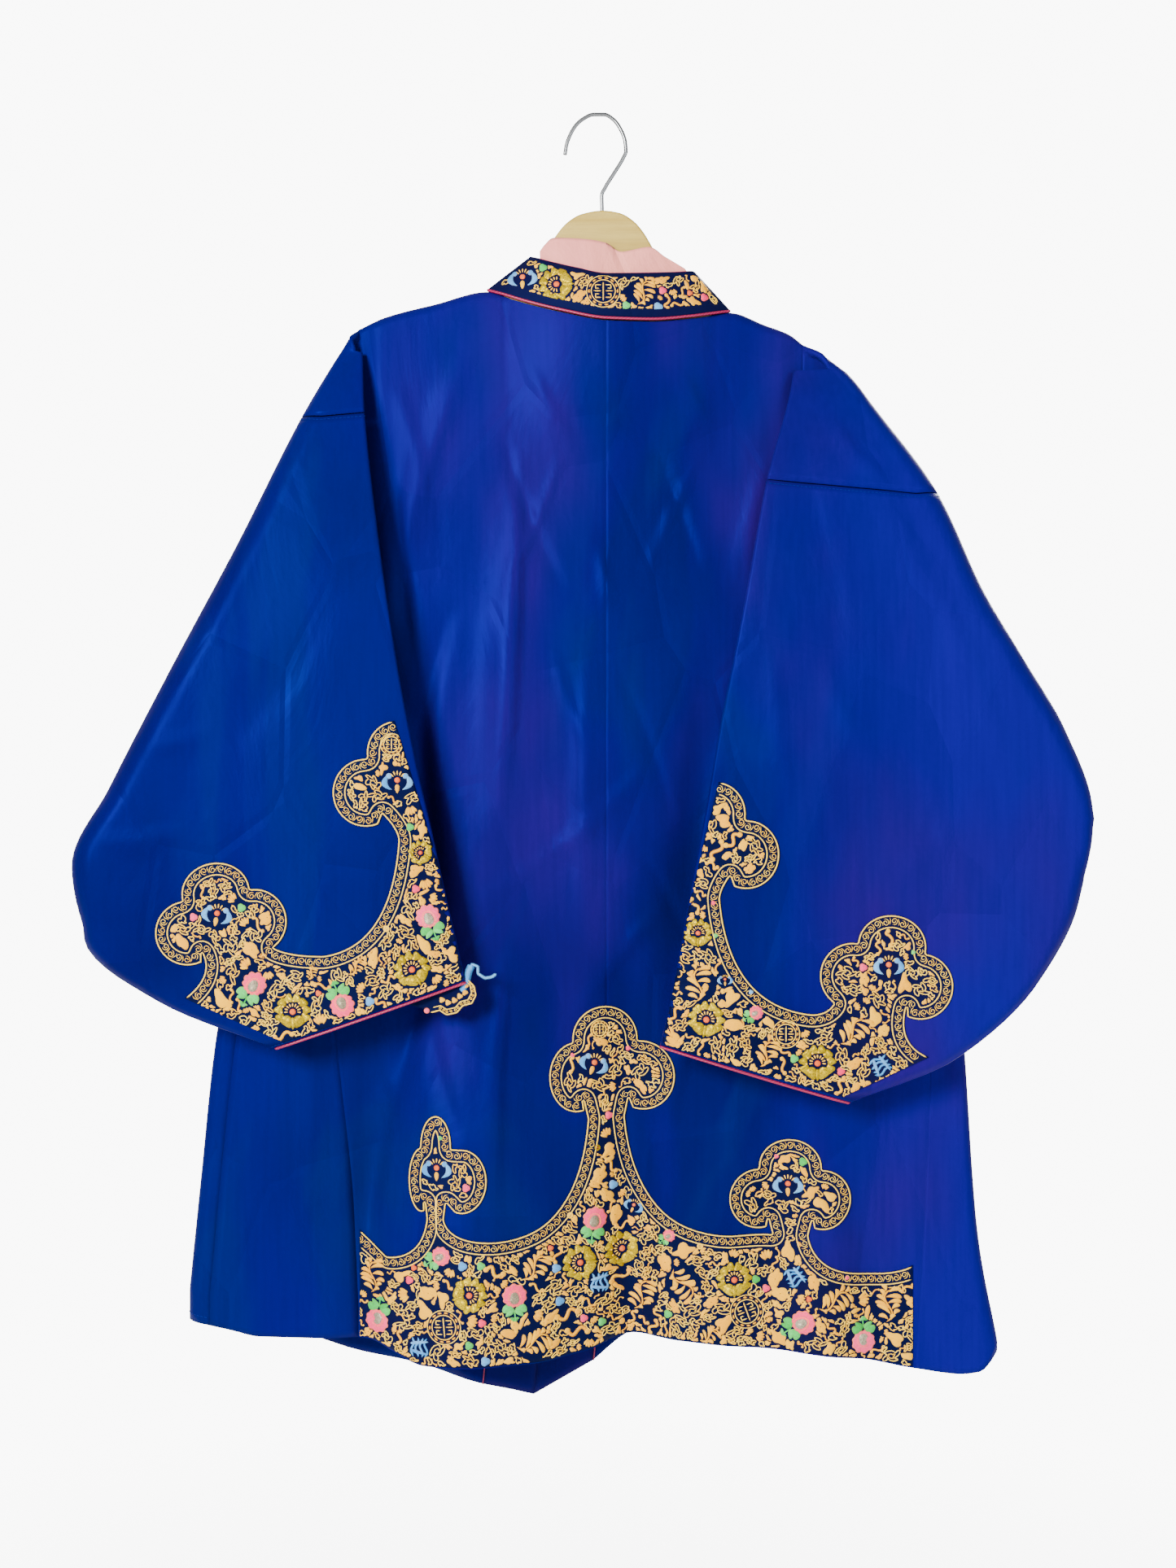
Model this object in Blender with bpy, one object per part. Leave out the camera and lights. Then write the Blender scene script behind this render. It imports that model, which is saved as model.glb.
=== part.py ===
# A T-cut silk haori, seen from the back on a wooden hanger
# Tables are in millimetres; x to the viewer's right, y away from the viewer, z up from the hook
import math

import bmesh
import bpy
import numpy as np
from mathutils import Vector
from mathutils.geometry import delaunay_2d_cdt

MM = 0.001
WALL = 1.5
SEAM_GAP = 0.3
RIDGE_GAP = 0.45
SLEEVE_SEAM_GAP = 1.1
APPLIED_WALL = 1.0
PIPING_RADIUS = 1.2
COLLAR_WALL = 2.4
LINING_WALL = 1.2

HANGER_THICK = 12.0
HOOK_RADIUS = 1.75
HOOK_HOLE_DEPTH = 14.0

CENTRE_SEAM_TOP = 6.5
CENTRE_SEAM_HEM = 7.5
SIDE_RISE = 20.0
RIDGE_ANGLES = (0.0, 22.0, 45.0, 68.0, 90.0)
SIDE_ANGLES = (0.0, 36.0, 72.0, 108.0, 144.0, 180.0)
ARMPIT = -533.4
HEM_LEVEL = -1092.0
ROWS_TO_ARMPIT = 8
ROWS_BELOW = 11
BACK_COLUMNS = (8, 2)
FRONT_COLUMNS = (6, 2)
GUSSET_COLUMNS = 4
BAND_COLUMNS = 3

# Shoulder line and back neckline: x, z, depth of the back panel's edge
TOP_LINE = (
    (-212.0, -190.0, 0.0),
    (-188.0, -179.0, 0.0),
    (-144.0, -167.5, 0.0),
    (-98.0, -156.5, 0.0),
    (-84.0, -161.5, 7.0),
    (-62.0, -169.5, 15.0),
    (-30.0, -178.5, 22.0),
    (7.0, -185.5, 25.0),
    (45.0, -186.5, 24.0),
    (80.0, -182.5, 16.0),
    (100.0, -178.5, 8.0),
    (116.0, -175.0, 0.0),
    (147.0, -186.0, 0.0),
    (168.0, -194.0, 0.0),
    (180.0, -203.0, 0.0),
)

# Side of the body below the armpit: z, outer fold, back panel's seam, front panel's seam. The left front
# turns round the fold on to the back; on the right the gusset does, and its seam is on the front layer
LEFT_SIDE = (
    (-533.0, -272.0, -254.0, -265.0),
    (-620.0, -293.0, -252.0, -282.0),
    (-720.0, -316.0, -242.0, -303.0),
    (-830.0, -338.0, -230.0, -320.0),
    (-959.0, -351.0, -217.0, -333.0),
    (-1064.0, -361.0, -212.0, -342.0),
)
RIGHT_SIDE = (
    (-533.0, 303.0, 290.0, 292.0),
    (-620.0, 309.0, 292.0, 290.0),
    (-720.0, 316.0, 293.0, 290.0),
    (-830.0, 324.0, 292.0, 291.0),
    (-959.0, 333.0, 287.0, 293.0),
    (-1085.0, 352.0, 278.0, 298.0),
)
# Column of the panels that carries on below the hanger's end: z, left x, right x
UNDER_TIP = (
    (-190.0, -212.0, 180.0),
    (-533.0, -212.0, 180.0),
    (-830.0, -186.0, 190.0),
    (-1100.0, -166.0, 184.0),
)
SIDE_GAP = (
    (-190.0, 3.0),
    (-533.0, 3.0),
    (-640.0, 5.0),
    (-830.0, 9.0),
    (-1100.0, 13.0),
)

# Lower edges: x, z
BACK_HEM = (
    (-212.0, -1079.0),
    (-196.0, -1081.0),
    (-179.0, -1087.0),
    (-152.0, -1096.0),
    (-110.0, -1096.5),
    (-60.0, -1095.0),
    (-11.0, -1089.0),
    (12.0, -1082.0),
    (32.0, -1079.0),
    (82.0, -1082.0),
    (189.0, -1091.0),
    (278.0, -1105.0),
)
FRONT_HEM = (
    (-361.0, -1063.0),
    (-300.0, -1077.0),
    (-179.0, -1112.0),
    (-107.0, -1128.0),
    (-58.0, -1139.0),
    (-30.0, -1130.0),
    (-8.0, -1111.0),
    (36.0, -1082.0),
    (120.0, -1084.0),
    (250.0, -1104.0),
    (352.0, -1090.0),
)
GUSSET_HEM_LEFT = (
    (-361.0, -1063.0),
    (-321.0, -1072.0),
    (-300.0, -1077.0),
    (-212.0, -1079.0),
)
GUSSET_HEM_RIGHT = (
    (278.0, -1105.0),
    (319.0, -1110.0),
    (335.0, -1108.0),
    (352.0, -1090.0),
)

# Folds of the back: top x, top z, foot x, foot z, half width, depth (towards the viewer is positive)
BACK_FOLDS = (
    (-100.0, -520.0, -116.0, -1110.0, 68.0, 40.0),
    (-196.0, -640.0, -206.0, -1110.0, 20.0, -14.0),
    (18.0, -640.0, 31.0, -1110.0, 26.0, -27.0),
    (-80.0, -300.0, -88.0, -700.0, 22.0, 7.0),
    (-172.0, -480.0, -150.0, -820.0, 26.0, -8.0),
    (120.0, -560.0, 112.0, -1110.0, 24.0, 6.0),
    (196.0, -560.0, 196.0, -1110.0, 30.0, 12.0),
    (96.0, -420.0, 76.0, -860.0, 24.0, -7.0),
    (250.0, -760.0, 238.0, -1110.0, 20.0, -6.0),
    (-40.0, -800.0, -52.0, -1110.0, 20.0, 8.0),
    (-9.0, -420.0, -14.0, -760.0, 12.0, 5.0),
)
FRONT_FOLDS = (
    (-120.0, -480.0, -170.0, -1110.0, 46.0, 22.0),
    (-230.0, -600.0, -262.0, -1100.0, 34.0, 13.0),
    (-60.0, -560.0, -112.0, -1120.0, 24.0, -7.0),
    (70.0, -460.0, 66.0, -1100.0, 42.0, 12.0),
    (170.0, -540.0, 190.0, -1100.0, 44.0, 24.0),
    (124.0, -620.0, 132.0, -1100.0, 24.0, -8.0),
    (262.0, -700.0, 270.0, -1100.0, 22.0, -6.0),
)
# Half width of the hollow between front and back away from the folds: z, back, front
HOLLOW = (
    (-150.0, 8.2, 8.2),
    (-300.0, 9.5, 11.0),
    (-520.0, 12.0, 18.0),
    (-760.0, 13.0, 26.0),
    (-1110.0, 12.0, 34.0),
)

# Front neckline and opening, outer seam of the band: z, left x, right x
BAND_SEAM = (
    (-156.5, -98.0, 116.0),
    (-230.0, -88.0, 104.0),
    (-320.0, -66.0, 78.0),
    (-400.0, -54.0, 56.0),
    (-520.0, -52.0, 51.0),
    (-760.0, -72.0, 28.0),
    (-1128.0, -107.0, -8.0),
)
# Free edge of the band, and the height of its left and right top corners
BAND_TOPS = (-129.0, -143.0)
BAND_EDGE = (
    (-129.0, -60.0, 90.0),
    (-230.0, -44.0, 60.0),
    (-320.0, -20.0, 32.0),
    (-400.0, -4.0, 4.0),
    (-520.0, -3.0, 2.0),
    (-760.0, -24.0, -20.0),
    (-1139.0, -60.0, -56.0),
)

# Collar at the back of the neck: bottom x, z, depth, top x, z, depth
COLLAR = (
    (-98.0, -154.5, 0.4, -60.0, -125.5, 0.4),
    (-84.0, -159.5, 8.0, -50.0, -129.5, 9.0),
    (-62.0, -167.5, 16.0, -38.0, -133.0, 11.0),
    (-30.0, -176.5, 23.0, -18.0, -138.5, 16.0),
    (7.0, -183.5, 26.0, 8.0, -143.5, 18.0),
    (45.0, -184.5, 25.0, 44.0, -143.0, 17.0),
    (80.0, -180.5, 17.0, 72.0, -141.0, 11.0),
    (100.0, -176.5, 9.0, 82.0, -140.0, 9.0),
    (116.0, -173.0, 0.4, 88.0, -143.0, 0.4),
)
# Upper edge of the collar's lining: x, z, depth
LINING_TOP = (
    (-52.0, -121.5, 7.2),
    (-47.0, -115.0, 7.3),
    (-39.0, -109.5, 7.6),
    (-14.0, -111.0, 9.8),
    (6.0, -114.5, 10.5),
    (20.0, -122.5, 10.5),
    (44.0, -118.0, 9.2),
    (58.0, -126.0, 7.8),
    (76.0, -136.5, 7.2),
)

# Left sleeve with the folded shoulder: place along the top fold, top fold x z, outer fold x z,
# underarm x z, depth of the near leg, bend radius, turn from, turn to, half gap, edge radius
LEFT_SLEEVE = (
    (0.0, -212.0, -190.0, -212.0, -190.0, -212.0, -533.0, 0.0, 6.0, 180.0, 180.0, 3.0, 3.0),
    (6.0, -212.0, -196.0, -215.0, -195.0, -216.0, -533.0, -2.0, 5.5, 120.0, 180.0, 2.8, 2.5),
    (13.0, -211.0, -203.0, -220.0, -203.0, -222.0, -533.0, -6.0, 5.5, 60.0, 180.0, 2.8, 2.0),
    (20.0, -210.0, -212.0, -226.0, -213.0, -229.0, -533.0, -12.0, 6.0, 0.0, 180.0, 2.8, 1.7),
    (71.0, -206.0, -268.0, -257.0, -273.0, -275.0, -533.0, -36.0, 16.5, 0.0, 180.0, 4.0, 1.7),
    (180.0, -193.0, -377.0, -311.0, -387.0, -317.0, -576.0, -50.0, 20.0, 0.0, 180.0, 5.5, 1.8),
    (288.0, -177.0, -483.0, -367.0, -497.0, -359.0, -621.0, -58.0, 19.0, 0.0, 180.0, 6.5, 1.8),
    (382.0, -160.0, -571.0, -418.0, -599.0, -402.0, -664.0, -61.0, 17.0, 0.0, 180.0, 7.0, 1.8),
    (446.0, -145.0, -636.0, -450.0, -666.0, -436.0, -694.0, -62.0, 14.0, 0.0, 170.0, 7.0, 1.8),
    (497.0, -135.0, -682.0, -440.0, -726.0, -440.0, -726.0, -62.0, 14.0, 0.0, 60.0, 7.5, 1.8),
    (540.0, -126.0, -721.0, -372.0, -778.0, -372.0, -778.0, -62.0, 16.0, 0.0, 30.0, 8.5, 1.8),
    (582.0, -117.0, -761.0, -274.0, -816.0, -274.0, -816.0, -62.0, 18.0, 0.0, 16.0, 9.0, 1.8),
)
RIGHT_SLEEVE = (
    (0.0, 180.0, -203.0, 180.0, -203.0, 180.0, -533.0, 0.0, 6.0, 180.0, 180.0, 3.0, 3.0),
    (7.0, 179.0, -210.0, 189.0, -209.0, 187.0, -533.0, -2.0, 5.5, 120.0, 180.0, 2.8, 2.5),
    (15.0, 177.0, -218.0, 202.0, -219.0, 195.0, -533.0, -6.0, 5.5, 60.0, 180.0, 2.8, 2.0),
    (23.0, 174.0, -228.0, 216.0, -230.0, 205.0, -533.0, -12.0, 6.0, 0.0, 180.0, 2.8, 1.7),
    (46.0, 169.0, -252.0, 237.0, -259.0, 228.0, -533.0, -24.0, 11.5, 0.0, 180.0, 3.2, 1.7),
    (122.0, 148.0, -327.0, 292.0, -341.0, 304.0, -533.0, -44.0, 18.0, 0.0, 180.0, 5.0, 1.7),
    (216.0, 131.0, -418.0, 329.0, -426.0, 341.0, -552.0, -54.0, 19.0, 0.0, 180.0, 6.0, 1.8),
    (288.0, 118.0, -485.0, 364.0, -488.0, 371.0, -578.0, -58.0, 18.0, 0.0, 180.0, 6.5, 1.8),
    (346.0, 107.0, -540.0, 398.0, -548.0, 398.0, -600.0, -60.0, 17.0, 0.0, 180.0, 7.0, 1.8),
    (418.0, 95.0, -610.0, 425.0, -622.0, 425.0, -622.0, -61.0, 14.0, 0.0, 110.0, 7.0, 1.8),
    (497.0, 81.0, -685.0, 410.0, -694.0, 410.0, -694.0, -62.0, 14.0, 0.0, 60.0, 7.5, 1.8),
    (562.0, 69.0, -749.0, 370.0, -766.0, 370.0, -766.0, -62.0, 16.0, 0.0, 34.0, 8.5, 1.8),
    (605.0, 61.0, -791.0, 298.0, -829.0, 298.0, -829.0, -62.0, 18.0, 0.0, 22.0, 9.0, 1.8),
    (631.0, 55.0, -816.0, 211.0, -863.0, 211.0, -863.0, -62.0, 18.0, 0.0, 16.0, 9.0, 1.8),
)
LEFT_SEAM = 70.6
RIGHT_SEAM = 122.0
LEFT_STATIONS = (0.0, 6.0, 13.0, 20.0, 34.0, 52.0, 70.6)
RIGHT_STATIONS = (0.0, 7.0, 15.0, 23.0, 46.0, 70.0, 96.0, 122.0)
SLEEVE_RINGS = 13
NEAR_CELLS = 7
ARC_CELLS = 6
FAR_CELLS = 4
CAP_CELLS = 3
TIP_LENGTH = 4.0
MIN_TURN = 0.6
EDGE_TAPER = 70.0

# Hanger outline, upper edge from the left end to the right end: x, z
HANGER_TOP = (
    (-191.0, -194.0),
    (-186.0, -185.5),
    (-146.0, -174.5),
    (-98.0, -165.0),
    (-72.0, -154.0),
    (-50.0, -125.0),
    (-39.0, -108.5),
    (-28.5, -95.7),
    (-14.5, -87.4),
    (3.2, -84.5),
    (18.5, -86.6),
    (30.6, -93.5),
    (39.5, -103.5),
    (51.0, -123.0),
    (70.0, -153.0),
    (88.0, -171.0),
    (116.0, -183.0),
    (145.0, -192.0),
    (156.0, -196.5),
    (160.0, -204.0),
)
HANGER_BOTTOM = (
    (156.0, -214.0),
    (116.0, -206.0),
    (60.0, -196.0),
    (3.0, -189.0),
    (-60.0, -192.0),
    (-140.0, -201.0),
    (-184.0, -209.0),
    (-191.0, -204.0),
)
# Hook's centre line: x, z
HOOK_LINE = (
    (3.2, -97.5),
    (3.1, -84.0),
    (2.8, -71.0),
    (6.3, -62.5),
    (13.2, -51.5),
    (21.1, -38.6),
    (24.2, -31.0),
    (23.4, -22.0),
    (19.4, -11.6),
    (13.2, -3.2),
    (4.8, 1.3),
    (-4.4, 1.3),
    (-13.0, -2.2),
    (-19.9, -8.1),
    (-25.1, -16.8),
    (-28.3, -25.6),
    (-29.7, -34.3),
)

# Ruyi clouds of the borders: centre x, z, scales of the left, right and top lobes and of the height,
# lean in degrees
HEM_CLOUDS = (
    (-142.0, -924.0, 0.43, 0.80, 0.48, 0.90, 0.0),
    (6.0, -835.0, 0.88, 1.08, 1.00, 1.00, 1.0),
    (168.0, -944.0, 0.95, 0.95, 0.95, 0.85, 0.0),
)
# Lowest points of the scallops between the clouds: x, z
HEM_SCALLOPS = (
    (-184.0, -1002.0),
    (-88.0, -988.0),
    (115.0, -987.0),
    (240.0, -1021.0),
)
HEM_ENDS = ((-210.5, -984.0), (276.0, -1014.0))
LEFT_CUFF_CLOUD = (-325.0, -702.0, 1.02, 1.00, 1.02, 0.90, 10.0)
RIGHT_CUFF_CLOUD = (248.0, -748.0, 1.02, 1.02, 1.02, 0.92, -9.0)
LEFT_EDGE_CLOUD = (-171.0, -583.0, 1.04, 1.00, 0.90, 0.95, 6.0)
RIGHT_EDGE_CLOUD = (98.0, -636.0, 1.00, 1.03, 0.90, 0.96, -6.0)
LEFT_ARCH = ((-236.0, -738.0), (-172.0, -640.0))
RIGHT_ARCH = ((182.0, -788.0), (104.0, -690.0))
LEFT_CUFF_FOOT = ((-328.5, -757.5), (-360.0, -778.0))
RIGHT_CUFF_FOOT = ((254.0, -816.0), (288.0, -827.0))
BORDER_INSET = 2.2
# One cloud at full size: side lobes, top lobe, notches beside the stem, waist of the stem
SIDE_LOBE_X = 29.0
SIDE_LOBE_Z = -13.0
SIDE_LOBE_WIDE = 27.5
SIDE_LOBE_HIGH = 31.0
TOP_LOBE_Z = 20.0
TOP_LOBE_RADIUS = 29.0
NOTCH_X = 20.0
NOTCH_Z = -34.0
WAIST_X = 16.5
WAIST_Z = -50.0
# Points of a cuff cloud's lobe that run into the arch beside it
MERGED_POINTS = 3


def smooth(value):
    value = min(1.0, max(0.0, value))
    return value * value * (3.0 - 2.0 * value)


def mix(first, second, share):
    return first + (second - first) * share


def read_curve(table, at, column, key=0):
    """Smooth reading of one column: a cubic through the rows with slopes from their neighbours."""
    rows = sorted(table, key=lambda row: row[key])
    keys = [row[key] for row in rows]
    values = [row[column] for row in rows]
    at = min(max(at, keys[0]), keys[-1])
    last = len(keys) - 2
    place = 0
    while place < last and at > keys[place + 1]:
        place += 1
    span = keys[place + 1] - keys[place]

    def slope(index):
        if index == 0 or index == len(keys) - 1:
            near = 1 if index == 0 else index
            return (values[near] - values[near - 1]) / (keys[near] - keys[near - 1])
        before = (values[index] - values[index - 1]) / (keys[index] - keys[index - 1])
        after = (values[index + 1] - values[index]) / (keys[index + 1] - keys[index])
        if before * after <= 0.0:
            return 0.0
        return 2.0 * before * after / (before + after)

    t = (at - keys[place]) / span
    start, end = values[place], values[place + 1]
    rise = slope(place) * span
    fall = slope(place + 1) * span
    return (
        (2 * t**3 - 3 * t**2 + 1) * start
        + (t**3 - 2 * t**2 + t) * rise
        + (3 * t**2 - 2 * t**3) * end
        + (t**3 - t**2) * fall
    )


def clear_scene():
    for item in list(bpy.data.objects):
        bpy.data.objects.remove(item, do_unlink=True)


def finish(name, colour, rough, metal=0.0):
    material = bpy.data.materials.new(name)
    material.use_nodes = True
    shader = material.node_tree.nodes["Principled BSDF"]
    shader.inputs["Base Color"].default_value = (*colour, 1.0)
    shader.inputs["Roughness"].default_value = rough
    shader.inputs["Metallic"].default_value = metal
    material.diffuse_color = (*colour, 1.0)
    return material


def add_object(name, work, colour, rough, metal=0.0):
    mesh = bpy.data.meshes.new(name)
    work.to_mesh(mesh)
    work.free()
    mesh.materials.append(finish(name, colour, rough, metal))
    mesh.shade_smooth()
    mesh.set_sharp_from_angle(angle=math.radians(40.0))
    item = bpy.data.objects.new(name, mesh)
    bpy.context.scene.collection.objects.link(item)
    return item


# A wall of cloth over a grid of middle points


def grid_normals(points, loop_rows=False):
    """Unit normals of a grid; rows run down the first index, columns along the second."""
    if loop_rows:
        down = np.roll(points, -1, axis=0) - np.roll(points, 1, axis=0)
    else:
        down = np.gradient(points, axis=0)
    across = np.gradient(points, axis=1)
    normals = np.cross(across, down)
    lengths = np.linalg.norm(normals, axis=2, keepdims=True)
    return normals / np.maximum(lengths, 1e-9)


def cell_corners(rows, columns, present=None, loop_rows=False):
    """Two triangles for each cell of the grid, cut along the same diagonal."""
    triangles = []
    for row in range(rows if loop_rows else rows - 1):
        below = (row + 1) % rows
        for column in range(columns - 1):
            if present is not None and not present(row, column):
                continue
            first = (row, column)
            second = (row, column + 1)
            third = (below, column + 1)
            fourth = (below, column)
            triangles.append((first, second, third))
            triangles.append((first, third, fourth))
    return triangles


def wall(work, outer, inner, triangles):
    """Close two skins into one wall; both hold points by key, triangles name the keys."""
    outside = {}
    inside = {}

    def vertex(store, source, key):
        if key not in store:
            store[key] = work.verts.new(Vector(source[key]) * MM)
        return store[key]

    edges = {}
    for triangle in triangles:
        work.faces.new([vertex(outside, outer, key) for key in triangle])
        work.faces.new([vertex(inside, inner, key) for key in reversed(triangle)])
        for place in range(3):
            edges[(triangle[place], triangle[(place + 1) % 3])] = True
    for start, end in edges:
        if (end, start) in edges:
            continue
        work.faces.new([outside[end], outside[start], inside[start]])
        work.faces.new([outside[end], inside[start], inside[end]])


def sheet(name, middle, outward, colour, rough, thickness=WALL, present=None, loop_rows=False,
          shared=(), upright=None):
    """One panel of cloth: its middle grid, made into a wall that stands half each way.
    At a seam, shared gives the neighbour's normals, so that both walls end on parallel faces.
    The column named by upright ends in a plane of constant x."""
    points = np.array(middle)
    normals = grid_normals(points, loop_rows) * outward
    for column, column_normals in shared:
        count = len(column_normals)
        normals[-count:, column] = column_normals
    if upright is not None:
        normals[:, upright, 0] = 0.0
        normals[:, upright] /= np.linalg.norm(normals[:, upright], axis=1, keepdims=True)
    outer = points + normals * thickness / 2
    inner = points - normals * thickness / 2
    triangles = cell_corners(points.shape[0], points.shape[1], present, loop_rows)
    if outward < 0:
        triangles = [tuple(reversed(triangle)) for triangle in triangles]
    work = bmesh.new()
    wall(work, outer, inner, triangles)
    item = add_object(name, work, colour, rough)
    return item, outer, normals, triangles


# The body's two layers


def side_table(side):
    return LEFT_SIDE if side < 0 else RIGHT_SIDE


def tip(side):
    return TOP_LINE[0] if side < 0 else TOP_LINE[-1]


def body_side(side, z):
    """The x of the body's outer fold; above the armpit, of the line under the hanger's end."""
    tip_x = tip(side)[0]
    fold = read_curve(side_table(side), z, 1)
    return mix(tip_x, fold, smooth((-500.0 - z) / 100.0))


def fold_depth(folds, x, z):
    depth = 0.0
    for top_x, top_z, foot_x, foot_z, width, height in folds:
        share = (top_z - z) / (top_z - foot_z)
        if share <= 0.0:
            continue
        middle = mix(top_x, foot_x, share)
        spread = (x - middle) / (width * mix(0.7, 1.0, min(1.0, share)))
        fade = smooth(share) if share < 1.0 else 1.0
        if foot_z > -1000.0:
            fade = math.sin(math.pi * min(1.0, share)) ** 2
        depth += height * fade * math.exp(-spread * spread)
    return depth


def side_share(x, z):
    """0 at the body's side folds, 1 well inside them."""
    side = -1 if x < 0 else 1
    reach = abs(body_side(side, z)) - abs(x)
    return smooth(reach / mix(SIDE_RISE, 78.0, smooth((-300.0 - z) / 350.0)))


def body_depth(x, z, layer):
    """Distance of a layer's middle from the plane of the side folds; layer -1 is the back."""
    hollow = read_curve(HOLLOW, z, 1 if layer < 0 else 2)
    edge = read_curve(SIDE_GAP, z, 1)
    depth = mix(edge, hollow, side_share(x, z))
    if layer < 0:
        neck = max(0.0, read_curve(TOP_LINE, x, 2) - hollow)
        below = read_curve(TOP_LINE, x, 1) - z
        depth += neck * (1.0 - smooth(below / 170.0))
        depth += fold_depth(BACK_FOLDS, x, z) * side_share(x, z)
    else:
        depth += fold_depth(FRONT_FOLDS, x, z) * side_share(x, z)
    return depth


def ridge_point(x, top, edge, layer, angle):
    """A point of the quarter round over the shoulder line, or just below the neckline."""
    depth = body_depth(x, top - 10.0, layer)
    turn = math.radians(angle)
    y = edge + RIDGE_GAP + max(0.0, depth - edge - RIDGE_GAP) * math.sin(turn)
    z = top - max(depth - edge, 5.0) * (1.0 - math.cos(turn))
    return (x, layer * y, z)


def seam_x(side, z, column):
    return read_curve(side_table(side), z, column)


def body_rows(side, top_at, x_top_at, x_low_at, depth_at, layer, columns):
    """Grid of one body panel: rows over the shoulder's round, down to the armpit, down to the hem."""
    main, extra = columns
    steps = len(RIDGE_ANGLES)
    grid = []
    for row in range(steps + ROWS_TO_ARMPIT + ROWS_BELOW):
        line = []
        for column in range(main + extra + 1):
            share = column / main
            top, edge = top_at(x_top_at(min(1.0, share)))
            if row < steps and column <= main:
                line.append(ridge_point(x_top_at(share), top, edge, layer, RIDGE_ANGLES[row]))
                continue
            if row < steps + ROWS_TO_ARMPIT:
                down = max(0.0, (row - steps + 1) / ROWS_TO_ARMPIT)
                start = ridge_point(x_top_at(min(1.0, share)), top, edge, layer, 90.0)[2]
                z = mix(start, ARMPIT, down)
                x = x_low_at(share, z)
            else:
                down = (row - steps - ROWS_TO_ARMPIT + 1) / ROWS_BELOW
                x, z = low_point(side, layer, x_low_at, share, down)
            line.append((x, layer * depth_at(x, z, layer), z))
        grid.append(line)
    armpit_row = steps + ROWS_TO_ARMPIT - 1

    def present(row, column):
        return column < main or row >= armpit_row

    return grid, present


def low_point(side, layer, x_low_at, share, down):
    """A point below the armpit: its row is a share of the way to the hem, the same on every panel."""
    guess = mix(ARMPIT, HEM_LEVEL, down)
    x = x_low_at(share, guess)
    hem = BACK_HEM if layer < 0 else FRONT_HEM
    if layer < 0 and abs(x) > abs(seam_x(side, HEM_LEVEL, 2)):
        hem = GUSSET_HEM_LEFT if side < 0 else GUSSET_HEM_RIGHT
    return x, mix(ARMPIT, read_curve(hem, x, 1), down)


def back_half(side):
    """One back panel, from the centre seam to the gusset's seam."""
    main, extra = BACK_COLUMNS
    tip_x = tip(side)[0]
    pick = 1 if side < 0 else 2

    def top_at(x):
        return read_curve(TOP_LINE, x, 1), read_curve(TOP_LINE, x, 2)

    def x_top_at(share):
        return mix(CENTRE_SEAM_TOP + side * SEAM_GAP / 2, tip_x, share)

    def x_low_at(share, z):
        down = smooth((ARMPIT - z) / (ARMPIT - HEM_LEVEL))
        centre = mix(CENTRE_SEAM_TOP, CENTRE_SEAM_HEM, down) + side * SEAM_GAP / 2
        under = read_curve(UNDER_TIP, z, pick)
        if share <= 1.0:
            return mix(centre, under, share)
        return mix(under, seam_x(side, z, 2), (share - 1.0) * main / extra)

    return body_rows(side, top_at, x_top_at, x_low_at, body_depth, -1, BACK_COLUMNS)


def front_half(side):
    """One front panel, from the band's seam to the gusset's seam or the side fold."""
    main, extra = FRONT_COLUMNS
    pick = 1 if side < 0 else 2
    tip_x = tip(side)[0]
    neck_x = TOP_LINE[3][0] if side < 0 else TOP_LINE[11][0]

    def top_at(x):
        return read_curve(TOP_LINE, x, 1), 0.0

    def x_top_at(share):
        return mix(neck_x, tip_x, share)

    def x_low_at(share, z):
        under = read_curve(UNDER_TIP, z, pick)
        if share <= 1.0:
            return mix(read_curve(BAND_SEAM, z, pick), under, share)
        return mix(under, front_limit(side, z), (share - 1.0) * main / extra)

    grid, present = body_rows(side, top_at, x_top_at, x_low_at, body_depth, 1, FRONT_COLUMNS)
    if side < 0:
        wrap_front(side, grid)
    return grid, present


def wrap_front(side, grid):
    """Carry the left front round the side fold to its seam on the back layer."""
    first = len(RIDGE_ANGLES) + ROWS_TO_ARMPIT - 1
    for row, line in enumerate(grid):
        down = max(0.0, (row - first) / ROWS_BELOW)
        guess = mix(ARMPIT, HEM_LEVEL, down)
        line += side_turn(side, down, guess)[::-1][1:]
        x, z = low_point(side, -1, lambda share, level: seam_x(side, level, 3), 0.0, down)
        line.append((x, -body_depth(x, z, -1), z))


def front_limit(side, z):
    """Where the flat stretch of the front layer ends."""
    if side > 0:
        return seam_x(side, z, 3)
    return seam_x(side, z, 1) - side * read_curve(SIDE_GAP, z, 1)


def side_turn(side, down, guess):
    """Points round the side fold, from the back layer to the front layer."""
    points = []
    fold = seam_x(side, guess, 1)
    radius = read_curve(SIDE_GAP, guess, 1)
    hem = GUSSET_HEM_LEFT if side < 0 else GUSSET_HEM_RIGHT
    for angle in SIDE_ANGLES:
        turn = math.radians(angle)
        x = fold - side * radius + side * radius * math.sin(turn)
        z = mix(ARMPIT, read_curve(hem, x, 1), down)
        points.append((x, -radius * math.cos(turn), z))
    return points


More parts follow.
